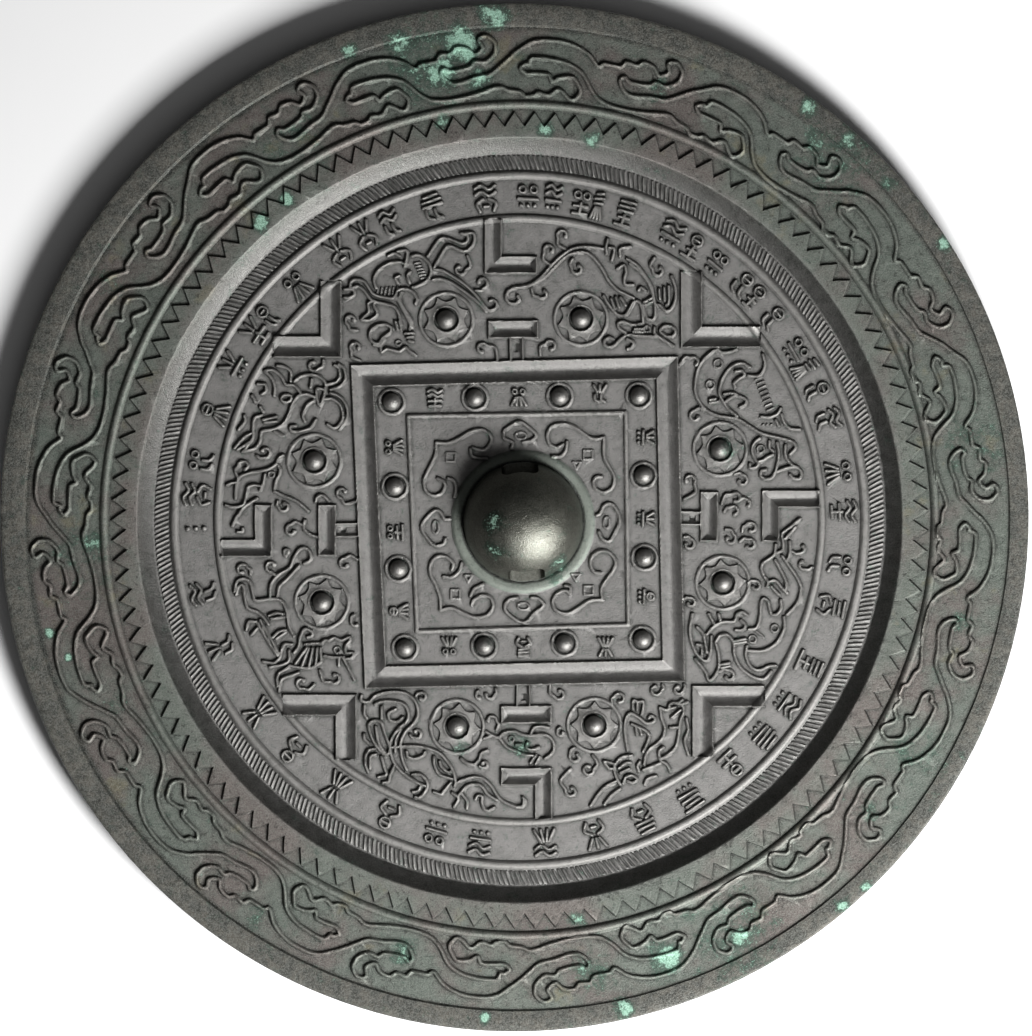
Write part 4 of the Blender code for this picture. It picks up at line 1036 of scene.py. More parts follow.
# Curls: the eye, the tail and how many degrees they wind, anticlockwise where that is positive
CURLS = (
    (34.9, 30.1, 32.1, 29.7, -220),
    (-31.8, 38.4, -30.6, 36.4, -300), (-30.9, 33.1, -30.1, 30.5, -300),
    (-10.6, 48.3, -9.2, 50.9, -300), (-6.4, 45.7, -7.6, 44.2, 300), (-6.3, 32.8, -3.4, 30.5, 300),
    (9.4, 54.9, 9.8, 52.3, -300), (6.8, 52, 7, 49.1, -300), (12.2, 48.5, 11.3, 50.3, 300),
    (5.4, 43.7, 3.3, 44.5, 240), (7, 33.3, 5, 31.6, -300), (28, 48.1, 27.2, 50.5, 300),
    (35.2, 19.7, 36.9, 20.9, 300), (34, 7.2, 33, 3.6, 300), (44.2, 7.2, 42.8, 8.4, -300),
    (43, 3.7, 40.3, 2.6, -300), (42.6, 1.1, 40.8, 1.1, -240), (45, 2.4, 43.9, 3.6, -150),
    (41.9, -4.1, 41.1, -2.3, -300), (46, -2.1, 44.3, -2.8, -300), (45.7, -5.3, 43.8, -4.7, -300),
    (33.9, -5.2, 33, -3.8, -300), (56.3, -9, 57.8, -9.7, -200), (55.6, -5.8, 54.1, -6.6, 170),
    (46.8, -13.3, 45.5, -12.7, -300), (34.2, -16.6, 33, -15.9, -300), (41.6, -30.8, 40, -30, -300),
    (8.7, -34.3, 6.9, -32.8, 300), (20.4, -35.3, 18.9, -36.1, -300), (27.5, -33.5, 28.8, -32.5, -300),
    (31.9, -33.4, 33, -32.5, -300), (9, -41.9, 8.8, -40.9, 250), (11.8, -46.5, 11.6, -44.8, 300),
    (14.3, -49, 15.2, -46.3, -360), (11, -53.2, 10.9, -48.9, 340), (-18, -34.9, -19.2, -34.7, -300),
    (-19, -42, -20.3, -42.3, 300), (-5, -34.3, -3.7, -33.3, -200), (-6.8, -34.8, -7.1, -33.8, 150),
    (-4.6, -39.6, -3.5, -41.3, 220), (-5.9, -48, -6.8, -48.4, 300), (-47.3, -9.5, -45, -10.6, -300),
    (-44.3, -6.7, -44.5, -7.5, -300), (-53, -10.2, -51.4, -11.1, 300), (-35, -31.2, -37.9, -29.8, 300),
    (-41.4, -32.2, -39, -32.5, -300), (-30.8, -20.4, -31.2, -18.9, 180), (-33, -9, -30.6, -8.2, 300),
    (-43.4, -2.5, -41.4, -1.4, 300), (-39.1, 29.6, -37.2, 30.6, -300), (-48.6, 12.7, -50.1, 12, 300),
    (-52.7, 9.9, -53.9, 7.9, -300), (-33.5, 4.8, -30.9, 3.1, -300), (-44.9, 2.2, -46.1, 3.1, 300),
)

# Eyes and other small rings of the figures: centre and radius
SMALL_RINGS = (
    (-22.6, 33.9, 0.5), (25.8, 36.7, 0.6), (39.6, 29.9, 0.8), (38.1, 25.8, 0.8), (47.9, 13.3, 0.7),
    (50.6, -21.6, 0.7), (46.3, -23.7, 0.7), (-0.6, -43.1, 0.5), (-34.5, -25.8, 0.6), (-47.3, 8.3, 0.6),
)
# Rows of short strokes: start, end, number and the run of each stroke
STROKE_ROWS = (
    ((-19.5, 49.4), (-18.2, 46.5), 6, (1.1, 0.2)),
    ((-26.8, 43.2), (-23.0, 43.4), 6, (0.2, 1.4)),
    ((46.9, 26.8), (49.1, 20.8), 8, (1.2, 0.55)),
    ((48.3, 18.0), (49.9, 18.0), 3, (0.1, 0.1)),
    ((46.8, -21.9), (48.0, -22.8), 3, (0.5, -0.6)),
)
# Small squares and triangles in the corners of the inner square
CORNER_SQUARES = ((-12.4, 11.7), (14.3, 12.2), (14.4, -14.2), (-11.5, -14.9))
CORNER_SQUARE_SIDE = 1.7
CORNER_TRIANGLES = ((12.1, 10.3), (11.9, -11.5), (-9.0, -11.7))
CORNER_TRIANGLE_RADIUS = 0.9
# Ovals in the buds: centre and half length each way
BUD_OVALS = (
    (1.2, 15.9, 1.1, 0.7), (-15.4, -1.9, 0.6, 1.25), (17.9, -1.0, 0.6, 1.15), (1.7, -17.3, 1.15, 0.7),
)
OVAL_SIDES = 12


def regular(centre, radius_x, radius_y, sides, turn=0.0):
    """The corners of a regular outline, closed."""
    corners = [
        (
            centre[0] + radius_x * math.cos(math.tau * (index + turn) / sides),
            centre[1] + radius_y * math.sin(math.tau * (index + turn) / sides),
        )
        for index in range(sides)
    ]
    return corners + corners[:1]


def draw_figures():
    """The beasts, birds and dancers between the marks, with the curls round them."""
    for strokes in FIGURES.values():
        for stroke in strokes:
            draw_smooth(stroke, FIGURE_LINE)
    for x, y, radius in SMALL_RINGS:
        draw_ring((x, y), radius, EYE_LINE)
    for start, end, count, reach in STROKE_ROWS:
        draw_ticks(start, end, count, reach)
    for curl in CURLS:
        draw_curl(*curl)


def draw_leaves():
    """The leaves and buds round the knob."""
    for stroke in LEAVES + BUDS:
        draw_smooth(stroke, LEAF_LINE)
    radius = CORNER_SQUARE_SIDE / math.sqrt(2)
    for centre in CORNER_SQUARES:
        draw_line(regular(centre, radius, radius, 4, 0.5), CORNER_LINE)
    radius = CORNER_TRIANGLE_RADIUS
    for centre in CORNER_TRIANGLES:
        draw_line(regular(centre, radius, radius, 3, 0.25), CORNER_LINE)
    for x, y, half_x, half_y in BUD_OVALS:
        draw_line(regular((x, y), half_x, half_y, OVAL_SIDES), BUD_LINE)


# The turned form, and the mesh

def ridge(away, size):
    """The height of a raised ring at a distance from its centre."""
    radius, half_width, height = size
    return height * rounded((away - radius) / half_width)


def turned_height(x, y):
    """The height of the back without what is drawn on it."""
    away = np.hypot(x - RELIEF_CENTRE[0], y - RELIEF_CENTRE[1])
    wall = np.clip((away - WALL_FOOT_RADIUS) / (WALL_TOP_RADIUS - WALL_FOOT_RADIUS), 0, 1)
    height = FIELD_TOP + (TOOTH_TOP - FIELD_TOP) * wall ** WALL_BEND
    height = np.where(away > WALL_TOP_RADIUS, RIM_GROUND, height)
    ridge_radius, ridge_half, _ = RIM_RIDGE
    recess = np.where(away > WALL_TOP_RADIUS, np.clip((ridge_radius - away) / ridge_half, 0, 1), 0)
    height = height - TOOTH_RECESS * recess
    past_foot = np.hypot(x - BORDER_CENTRE[0], y - BORDER_CENTRE[1]) - BORDER_INNER_RADIUS
    step = np.clip(past_foot / BORDER_SLOPE, 0, 1)
    crown = np.clip(past_foot / (BORDER_CROWN_RADIUS - BORDER_INNER_RADIUS), 0, 1)
    rise = BORDER_STEP_SHARE * step + (1 - BORDER_STEP_SHARE) * (1 - (1 - crown) ** 2)
    height = np.where(past_foot > 0, RIM_GROUND + (BORDER_TOP - RIM_GROUND) * rise, height)
    for ring in (RIM_RIDGE, OUTER_RING, INNER_RING):
        height = height + ridge(away, ring)
    from_knob = np.hypot(x - KNOB_CENTRE[0], y - KNOB_CENTRE[1])
    ring_middle = (KNOB_RADIUS + KNOB_RING_RADIUS) / 2
    ring_half = (KNOB_RING_RADIUS - KNOB_RADIUS) / 2 + KNOB_RING_SPREAD
    height = height + ridge(from_knob, (ring_middle, ring_half, KNOB_RING_TOP))
    share = np.clip(from_knob / KNOB_RADIUS, 0, 1)
    dome = (KNOB_HEIGHT - EDGE_CLEARANCE) * np.sqrt(1 - share ** 2)
    height = np.maximum(height, FIELD_TOP + dome)
    return height


def relief_at(x, y):
    """The height of the drawn relief at each point, read between the cells of the map."""
    column = (x + SPAN) / CELL
    row = (y + SPAN) / CELL
    left = np.clip(np.floor(column).astype(int), 0, len(AXIS) - 2)
    low = np.clip(np.floor(row).astype(int), 0, len(AXIS) - 2)
    across = column - left
    up = row - low
    lower = relief[low, left] * (1 - across) + relief[low, left + 1] * across
    upper = relief[low + 1, left] * (1 - across) + relief[low + 1, left + 1] * across
    return lower * (1 - up) + upper * up


def face_height(radius):
    """The height of the slightly convex reflecting face, flat in the middle."""
    share = max(0, radius - FLAT_RADIUS) / (RIM_RADIUS - FLAT_RADIUS)
    return FACE_RISE * share * share


def circle_centre(radius):
    """The circles of the mesh keep to the relief inside and move over to the outline at the rim."""
    stops = (0, CENTRED_RADIUS, BORDER_INNER_RADIUS, RIM_RADIUS)
    x = np.interp(radius, stops, (RELIEF_CENTRE[0], RELIEF_CENTRE[0], BORDER_CENTRE[0], 0))
    y = np.interp(radius, stops, (RELIEF_CENTRE[1], RELIEF_CENTRE[1], BORDER_CENTRE[1], 0))
    return x, y


def circle(radius, count, centre):
    """The (x, y) points of one circle of the mesh."""
    angle = np.arange(count) * math.tau / count
    return centre[0] + radius * np.cos(angle), centre[1] + radius * np.sin(angle)


def mesh_circles():
    """Every circle of the closed mesh from the middle of the back, over the rim, to the middle below."""
    circles = []
    radii = np.arange(RING_STEP, RIM_RADIUS - EDGE_BEVEL, RING_STEP)
    for radius in np.append(radii, RIM_RADIUS - EDGE_BEVEL):
        count = OUTER_COUNT
        while radius < RIM_RADIUS / 2 * count / OUTER_COUNT and count > OUTER_COUNT // 8:
            count //= 2
        x, y = circle(radius, count, circle_centre(radius))
        circles.append((x, y, turned_height(x, y) + relief_at(x, y)))
    low_edge = face_height(RIM_RADIUS) + EDGE_BEVEL
    edge_radius = RIM_RADIUS - EDGE_CLEARANCE
    for radius, height in (
        (edge_radius - EDGE_SHOULDER, BORDER_TOP - EDGE_SHOULDER),
        (edge_radius, BORDER_TOP - EDGE_BEVEL),
        (edge_radius, (BORDER_TOP + low_edge) / 2),
        (edge_radius, low_edge),
        (edge_radius - EDGE_SHOULDER, low_edge - EDGE_BEVEL + EDGE_SHOULDER),
    ):
        x, y = circle(radius, OUTER_COUNT, (0, 0))
        circles.append((x, y, np.full(OUTER_COUNT, height)))
    for radius, coarseness in FACE_CIRCLES:
        x, y = circle(radius, OUTER_COUNT // coarseness, (0, 0))
        circles.append((x, y, np.full(len(x), face_height(radius))))
    return circles


def band(first_start, first_count, second_start, second_count):
    """The triangles between two circles that follow one another, the same or twice as fine."""
    if first_count == second_count:
        here = np.arange(first_count)
        following = (here + 1) % first_count
        a = first_start + here
        b = first_start + following
        c = second_start + here
        d = second_start + following
        return [np.stack((a, c, d), 1), np.stack((a, d, b), 1)]
    if second_count == 2 * first_count:
        here = np.arange(first_count)
        a = first_start + here
        b = first_start + (here + 1) % first_count
        c = second_start + 2 * here
        d = second_start + 2 * here + 1
        e = second_start + (2 * here + 2) % second_count
        return [np.stack((a, c, d), 1), np.stack((a, d, b), 1), np.stack((b, d, e), 1)]
    here = np.arange(second_count)
    a = second_start + here
    b = second_start + (here + 1) % second_count
    c = first_start + 2 * here
    d = first_start + 2 * here + 1
    e = first_start + (2 * here + 2) % first_count
    return [np.stack((c, a, d), 1), np.stack((d, a, b), 1), np.stack((d, b, e), 1)]


def fan(middle, start, count, outward):
    """The triangles between a circle and a point in its middle."""
    here = np.arange(count)
    a = start + here
    b = start + (here + 1) % count
    hub = np.full(count, middle)
    return np.stack((hub, a, b) if outward else (hub, b, a), 1)


def closed_mesh():
    """The whole mirror as one fine closed mesh, in metres."""
    circles = mesh_circles()
    middle_top = np.array([[*RELIEF_CENTRE, turned_height(*RELIEF_CENTRE)]])
    points = [middle_top] + [np.stack(one, 1) for one in circles] + [np.zeros((1, 3))]
    points = np.concatenate(points)
    counts = [len(one[0]) for one in circles]
    starts = list(1 + np.cumsum([0] + counts[:-1]))
    triangles = [fan(0, starts[0], counts[0], True)]
    for index in range(len(counts) - 1):
        triangles += band(starts[index], counts[index], starts[index + 1], counts[index + 1])
    triangles.append(fan(len(points) - 1, starts[-1], counts[-1], False))
    triangles = np.concatenate(triangles)
    mesh = bpy.data.meshes.new("mirror_fine")
    mesh.vertices.add(len(points))
    mesh.vertices.foreach_set("co", (points * METRES).ravel())
    mesh.loops.add(triangles.size)
    mesh.loops.foreach_set("vertex_index", triangles.ravel())
    mesh.polygons.add(len(triangles))
    mesh.polygons.foreach_set("loop_start", np.arange(0, triangles.size, 3))
    mesh.update(calc_edges=True)
    return mesh


def cord_hole():
    """The rounded bar that is cut through the knob."""
    half_width = CORD_HOLE_WIDTH / 2
    half_height = CORD_HOLE_HEIGHT / 2
    outline = []
    for side_x, side_z, first in ((1, 1, 0), (-1, 1, 90), (-1, -1, 180), (1, -1, 270)):
        for step in range(HOLE_CORNER_STEPS + 1):
            angle = math.radians(first + step * 90 / HOLE_CORNER_STEPS)
            outline.append(
                (
                    side_x * (half_width - CORD_HOLE_ROUND) + CORD_HOLE_ROUND * math.cos(angle),
                    side_z * (half_height - CORD_HOLE_ROUND) + CORD_HOLE_ROUND * math.sin(angle),
                )
            )
    count = len(outline)
    half_length = CORD_HOLE_LENGTH / 2
    corners = [(x, end, z) for end in (-half_length, half_length) for x, z in outline]
    sides = []
    for index in range(count):
        following = (index + 1) % count
        sides.append((index, following, count + following, count + index))
    mesh = bpy.data.meshes.new("cord_hole")
    mesh.from_pydata(corners, [], sides + [tuple(range(count))[::-1], tuple(range(count, 2 * count))])
    middle = FIELD_TOP + CORD_HOLE_LIFT + half_height
    turn = Matrix.Rotation(math.radians(CORD_HOLE_TURN), 4, "Z")
    mesh.transform(Matrix.Scale(METRES, 4) @ Matrix.Translation((*KNOB_CENTRE, middle)) @ turn)
    mesh.flip_normals()
    return mesh


def evaluated_copy(obj):
    """The mesh of an object with its modifiers applied."""
    bpy.context.view_layer.update()
    evaluated = obj.evaluated_get(bpy.context.evaluated_depsgraph_get())
    mesh = bpy.data.meshes.new_from_object(evaluated)
    obj.modifiers.clear()
    return mesh


def build_mirror():
    """The mirror as one piece: the fine mesh, thinned where it is flat, with the cord hole cut through."""
    mirror = bpy.data.objects.new("mirror_casting", closed_mesh())
    bpy.context.scene.collection.objects.link(mirror)
    thin = mirror.modifiers.new("Thin", "DECIMATE")
    thin.ratio = MOST_TRIANGLES / len(mirror.data.polygons)
    mirror.data = evaluated_copy(mirror)
    cutter = bpy.data.objects.new("cord_hole", cord_hole())
    bpy.context.scene.collection.objects.link(cutter)
    cut = mirror.modifiers.new("Cord hole", "BOOLEAN")
    cut.operation = "DIFFERENCE"
    cut.solver = "MANIFOLD"
    cut.object = cutter
    triangulate = mirror.modifiers.new("Triangles", "TRIANGULATE")
    triangulate.quad_method = "BEAUTY"
    mirror.data = evaluated_copy(mirror)
    bpy.data.objects.remove(cutter)
    mirror.data.shade_smooth()
    mirror.data.set_sharp_from_angle(angle=math.radians(SHARP_ANGLE))
    weigh = mirror.modifiers.new("Flat grounds", "WEIGHTED_NORMAL")
    weigh.keep_sharp = True
    mirror.data = evaluated_copy(mirror)
    return mirror


# Layout of the surface on a square of side 1: middle and half width of the back, the face and the hole
BACK_LAYOUT = (0.4, 0.6, 0.39)
FACE_LAYOUT = (0.895, 0.11, 0.095)
HOLE_LAYOUT = (0.895, 0.32, 0.08)
HOLE_SQUEEZE = 1.3
# The edge in four strips: where they start, their length and spacing, and their width for a millimetre
STRIP_START = (0.02, 0.01)
STRIP_LENGTH = 0.74
STRIP_SPACING = 0.045
STRIP_WIDTH = 0.005
STRIPS = 4


def face_corners(mesh):
    """The three corners of every face in millimetres."""
    corners = np.zeros(len(mesh.loops), int)
    mesh.loops.foreach_get("vertex_index", corners)
    places = np.zeros(len(mesh.vertices) * 3)
    mesh.vertices.foreach_get("co", places)
    return places.reshape(-1, 3)[corners].reshape(-1, 3, 3) / METRES


def upward_share(places):
    """The upward part of the normal of every face."""
    normal = np.cross(places[:, 1] - places[:, 0], places[:, 2] - places[:, 0])
    return normal[:, 2] / np.maximum(np.linalg.norm(normal, axis=1), 1e-12)


def from_hole(places):
    """The places across, along and up from the middle of the cord hole."""
    turn = math.radians(CORD_HOLE_TURN)
    x = places[..., 0] - KNOB_CENTRE[0]
    y = places[..., 1] - KNOB_CENTRE[1]
    across = x * math.cos(turn) + y * math.sin(turn)
    along = y * math.cos(turn) - x * math.sin(turn)
    return across, along, places[..., 2] - FIELD_TOP - CORD_HOLE_LIFT - CORD_HOLE_HEIGHT / 2


def unbroken(angle, middle):
    """The angles of a face's corners, moved by whole turns to where they are near its middle."""
    return middle + (angle - middle + math.pi) % math.tau - math.pi


def lay_out(mirror):
    """A flat layout of the surface: the back, the face, the edge in strips and the cord hole."""
    mesh = mirror.data
    layout = mesh.uv_layers.new(name="OFBake")
    places = face_corners(mesh)
    middle = places.mean(1)
    upward = upward_share(places)
    x = places[..., 0]
    y = places[..., 1]
    across, along, up = from_hole(places)

    slack = 0.01
    in_hole = np.abs(across).max(1) < CORD_HOLE_WIDTH / 2 + slack
    in_hole &= np.abs(up).max(1) < CORD_HOLE_HEIGHT / 2 + slack
    in_hole &= np.abs(along).max(1) < KNOB_RADIUS
    edge = np.hypot(middle[:, 0], middle[:, 1]) > RIM_RADIUS - 1.5 * EDGE_BEVEL
    edge &= np.abs(upward) < 0.8
    under = (upward < 0) & (middle[:, 2] < FIELD_TOP / 2) & ~edge & ~in_hole

    u = BACK_LAYOUT[0] + BACK_LAYOUT[2] * x / RIM_RADIUS
    v = BACK_LAYOUT[1] + BACK_LAYOUT[2] * y / RIM_RADIUS
    u[under] = (FACE_LAYOUT[0] - FACE_LAYOUT[2] * x / RIM_RADIUS)[under]
    v[under] = (FACE_LAYOUT[1] + FACE_LAYOUT[2] * y / RIM_RADIUS)[under]

    middle_angle = np.arctan2(middle[:, 1], middle[:, 0])[:, None]
    edge_angle = unbroken(np.arctan2(y, x), middle_angle)
    strip = np.floor(middle_angle / math.tau % 1 * STRIPS)
    on_strip = (edge_angle / math.tau - np.floor(middle_angle / math.tau)) * STRIPS - strip
    u[edge] = (STRIP_START[0] + STRIP_LENGTH * on_strip)[edge]
    v[edge] = (STRIP_START[1] + STRIP_SPACING * strip + STRIP_WIDTH * places[..., 2])[edge]

    hole_angle = np.arctan2(up, across)
    hole_angle = unbroken(hole_angle, hole_angle[:, :1])
    u[in_hole] = (HOLE_LAYOUT[0] + HOLE_LAYOUT[2] * hole_angle / math.pi / HOLE_SQUEEZE)[in_hole]
    v[in_hole] = (HOLE_LAYOUT[1] + HOLE_LAYOUT[2] * along / KNOB_RADIUS)[in_hole]
    layout.data.foreach_set("uv", np.stack((u, v), -1).ravel())


# Metal and patina

# Colours as they look on a screen, from 0 to 255. Where there are two, noise blends them.
FIELD_METAL = ((86, 86, 83), (136, 133, 132))
RIM_GREEN = ((48, 56, 50), (102, 109, 101))
RIM_BROWN = ((56, 49, 47), (104, 95, 91))
RIM_OCHRE = (104, 98, 72)
BORDER_METAL = ((20, 24, 20), (62, 59, 52))
KNOB_METAL = ((46, 52, 44), (98, 97, 88))
KNOB_RING_METAL = ((84, 92, 84), (122, 130, 122))
# Painted shade on the slope from the field up to the rim, the same all round
WALL_PAINTED_SHADE = (48, 48, 46)
WORN_METAL = (158, 155, 148)
# Dirt and painted shade in the creases at the feet of the relief, where less light reaches
DIRT_AND_SHADE = (12, 12, 11)
PALE_SPECK = (150, 152, 146)
DARK_SPOT = (34, 34, 31)
STAIN = (44, 68, 57)
CRUST = ((80, 118, 99), (166, 204, 184))

# Noise: cells a millimetre, levels of detail, and how strong the finer levels are
CLOUDS = (0.05, 5.0, 0.6)
OCHRE_CLOUDS = (0.11, 4.0, 0.6)
MOTTLE = (0.45, 6.0, 0.65)
SPOTS = (1.1, 4.0, 0.75)
GRAIN = (3.5, 5.0, 0.7)
COARSE_CRUST = (0.35, 5.0, 0.6)
FINE_CRUST = (1.6, 4.0, 0.7)
CRUST_SPECKS = (2.4, 3.0, 0.7)

# How strongly each layer covers what lies under it. Where there are two, it is on the field and on the rim.
OCHRE_COVER = 0.5
WALL_PAINTED_SHADE_COVER = 0.6
WORN_COVER = 0.15
DIRT_AND_SHADE_COVER = 0.94
SPECK_COVER = (0.22, 0.32)
SPOT_COVER = (0.3, 0.6)
STAIN_COVER = 0.7
CRUST_COVER = 0.85

DIRT_AND_SHADE_REACH = 0.8
PIT_DEPTH = 0.12
PIT_STRENGTH = 0.8

# Verdigris: angle in degrees and radius of each patch, its size across, and how dense it is
VERDIGRIS = (
    (93, 98, 5.0, 0.9), (97, 93, 6.0, 1.0), (100, 88, 5.5, 0.9), (104, 95, 5.0, 0.8), (95, 86, 4.0, 0.7),
    (110, 97, 2.6, 0.8), (126, 77, 2.4, 0.9), (131, 76.5, 3.0, 0.9), (101, 79, 2.6, 0.8),
    (86, 76, 3.0, 0.7), (79, 75.5, 3.0, 0.7), (55, 98, 3.2, 0.9), (49, 97.5, 3.0, 0.9),
    (42.5, 97, 2.6, 0.8), (33, 98.7, 2.8, 0.9), (52, 93, 4.0, 0.6), (193.5, 94, 1.8, 1.0),
    (197, 91.7, 1.5, 1.0), (183, 83.5, 4.0, 0.6), (266, 97, 2.0, 1.0), (255, 87, 4.5, 0.6),
    (282, 97, 3.5, 0.9), (288.5, 90, 5.5, 0.9), (298, 92, 4.0, 0.8), (278, 78.5, 3.0, 0.7),
    (310, 98, 2.4, 0.9), (313.5, 98, 2.0, 0.9), (205, 86, 4.0, 0.4), (236, 92, 4.0, 0.4),
    (150, 92, 4.0, 0.4), (11, 88, 3.5, 0.45), (347, 88, 3.5, 0.45), (320, 88, 4.0, 0.4),
    (72, 88, 4.0, 0.45), (270, 44, 4.5, 0.45), (255, 46, 3.5, 0.4), (19, 43, 4.0, 0.4),
    (311, 11.5, 3.0, 0.7), (300, 13, 3.0, 0.6), (279, 89, 7.0, 0.5), (297, 90, 15.0, 0.4),
    (101, 91, 15.0, 0.45), (48, 93, 13.0, 0.4), (185, 5, 4.0, 0.5), (230, 7.5, 3.5, 0.5),
    (120, 86, 10.0, 0.3), (10, 90, 10.0, 0.3), (330, 90, 10.0, 0.3), (185, 85, 10.0, 0.3),
)


def linear(colour):
    """A colour given as it looks on a screen, in linear light."""
    parts = [((value / 255 + 0.055) / 1.055) ** 2.4 for value in colour]
    return (*parts, 1.0)


class Shader:
    """The nodes of a material or of the world, with short ways to add and join them."""

    def __init__(self, owner):
        owner.use_nodes = True
        self.nodes = owner.node_tree.nodes
        self.links = owner.node_tree.links

    def set(self, socket, value):
        """Gives an input a number or a colour, or joins it to the output that feeds it."""
        if isinstance(value, bpy.types.NodeSocket):
            self.links.new(value, socket)
        else:
            socket.default_value = value

    def add(self, kind, values=(), **settings):
        """Adds a node with its settings and the values of its inputs."""
        node = self.nodes.new(kind)
        for name, setting in settings.items():
            setattr(node, name, setting)
        for name, value in dict(values).items():
            self.set(node.inputs[name], value)
        return node

    def math(self, operation, first, second, third=0.0):
        """One step of arithmetic. Only a few operations use the third value."""
        values = {0: first, 1: second, 2: third}
        return self.add("ShaderNodeMath", values, operation=operation).outputs[0]

    def vector(self, operation, first, second, output="Vector"):
        """One step of arithmetic with places or directions."""
        values = {0: first, 1: second}
        return self.add("ShaderNodeVectorMath", values, operation=operation).outputs[output]

    def ramp(self, value, low, high, to_low=0.0, to_high=1.0):
        """A smooth step of a value from one level to another."""
        values = {"Value": value, "From Min": low, "From Max": high, "To Min": to_low, "To Max": to_high}
        return self.add("ShaderNodeMapRange", values, interpolation_type="SMOOTHSTEP").outputs["Result"]

    def noise(self, places, scale, detail, roughness):
        """Cloudy noise, around a half."""
        values = {"Vector": places, "Scale": scale, "Detail": detail, "Roughness": roughness}
        return self.add("ShaderNodeTexNoise", values).outputs["Fac"]

    def mix(self, share, first, second):
        """A blend of two colours."""
        values = {0: share, 6: first, 7: second}
        return self.add("ShaderNodeMix", values, data_type="RGBA").outputs[2]

    def blend(self, share, colours):
        """A blend of the two screen colours of a pair."""
        return self.mix(share, linear(colours[0]), linear(colours[1]))

    def cover(self, colour, share, strength, over):
        """A colour with another over it, as strong as a share of the place times a strength."""
        return self.mix(self.math("MULTIPLY", share, strength), colour, over)


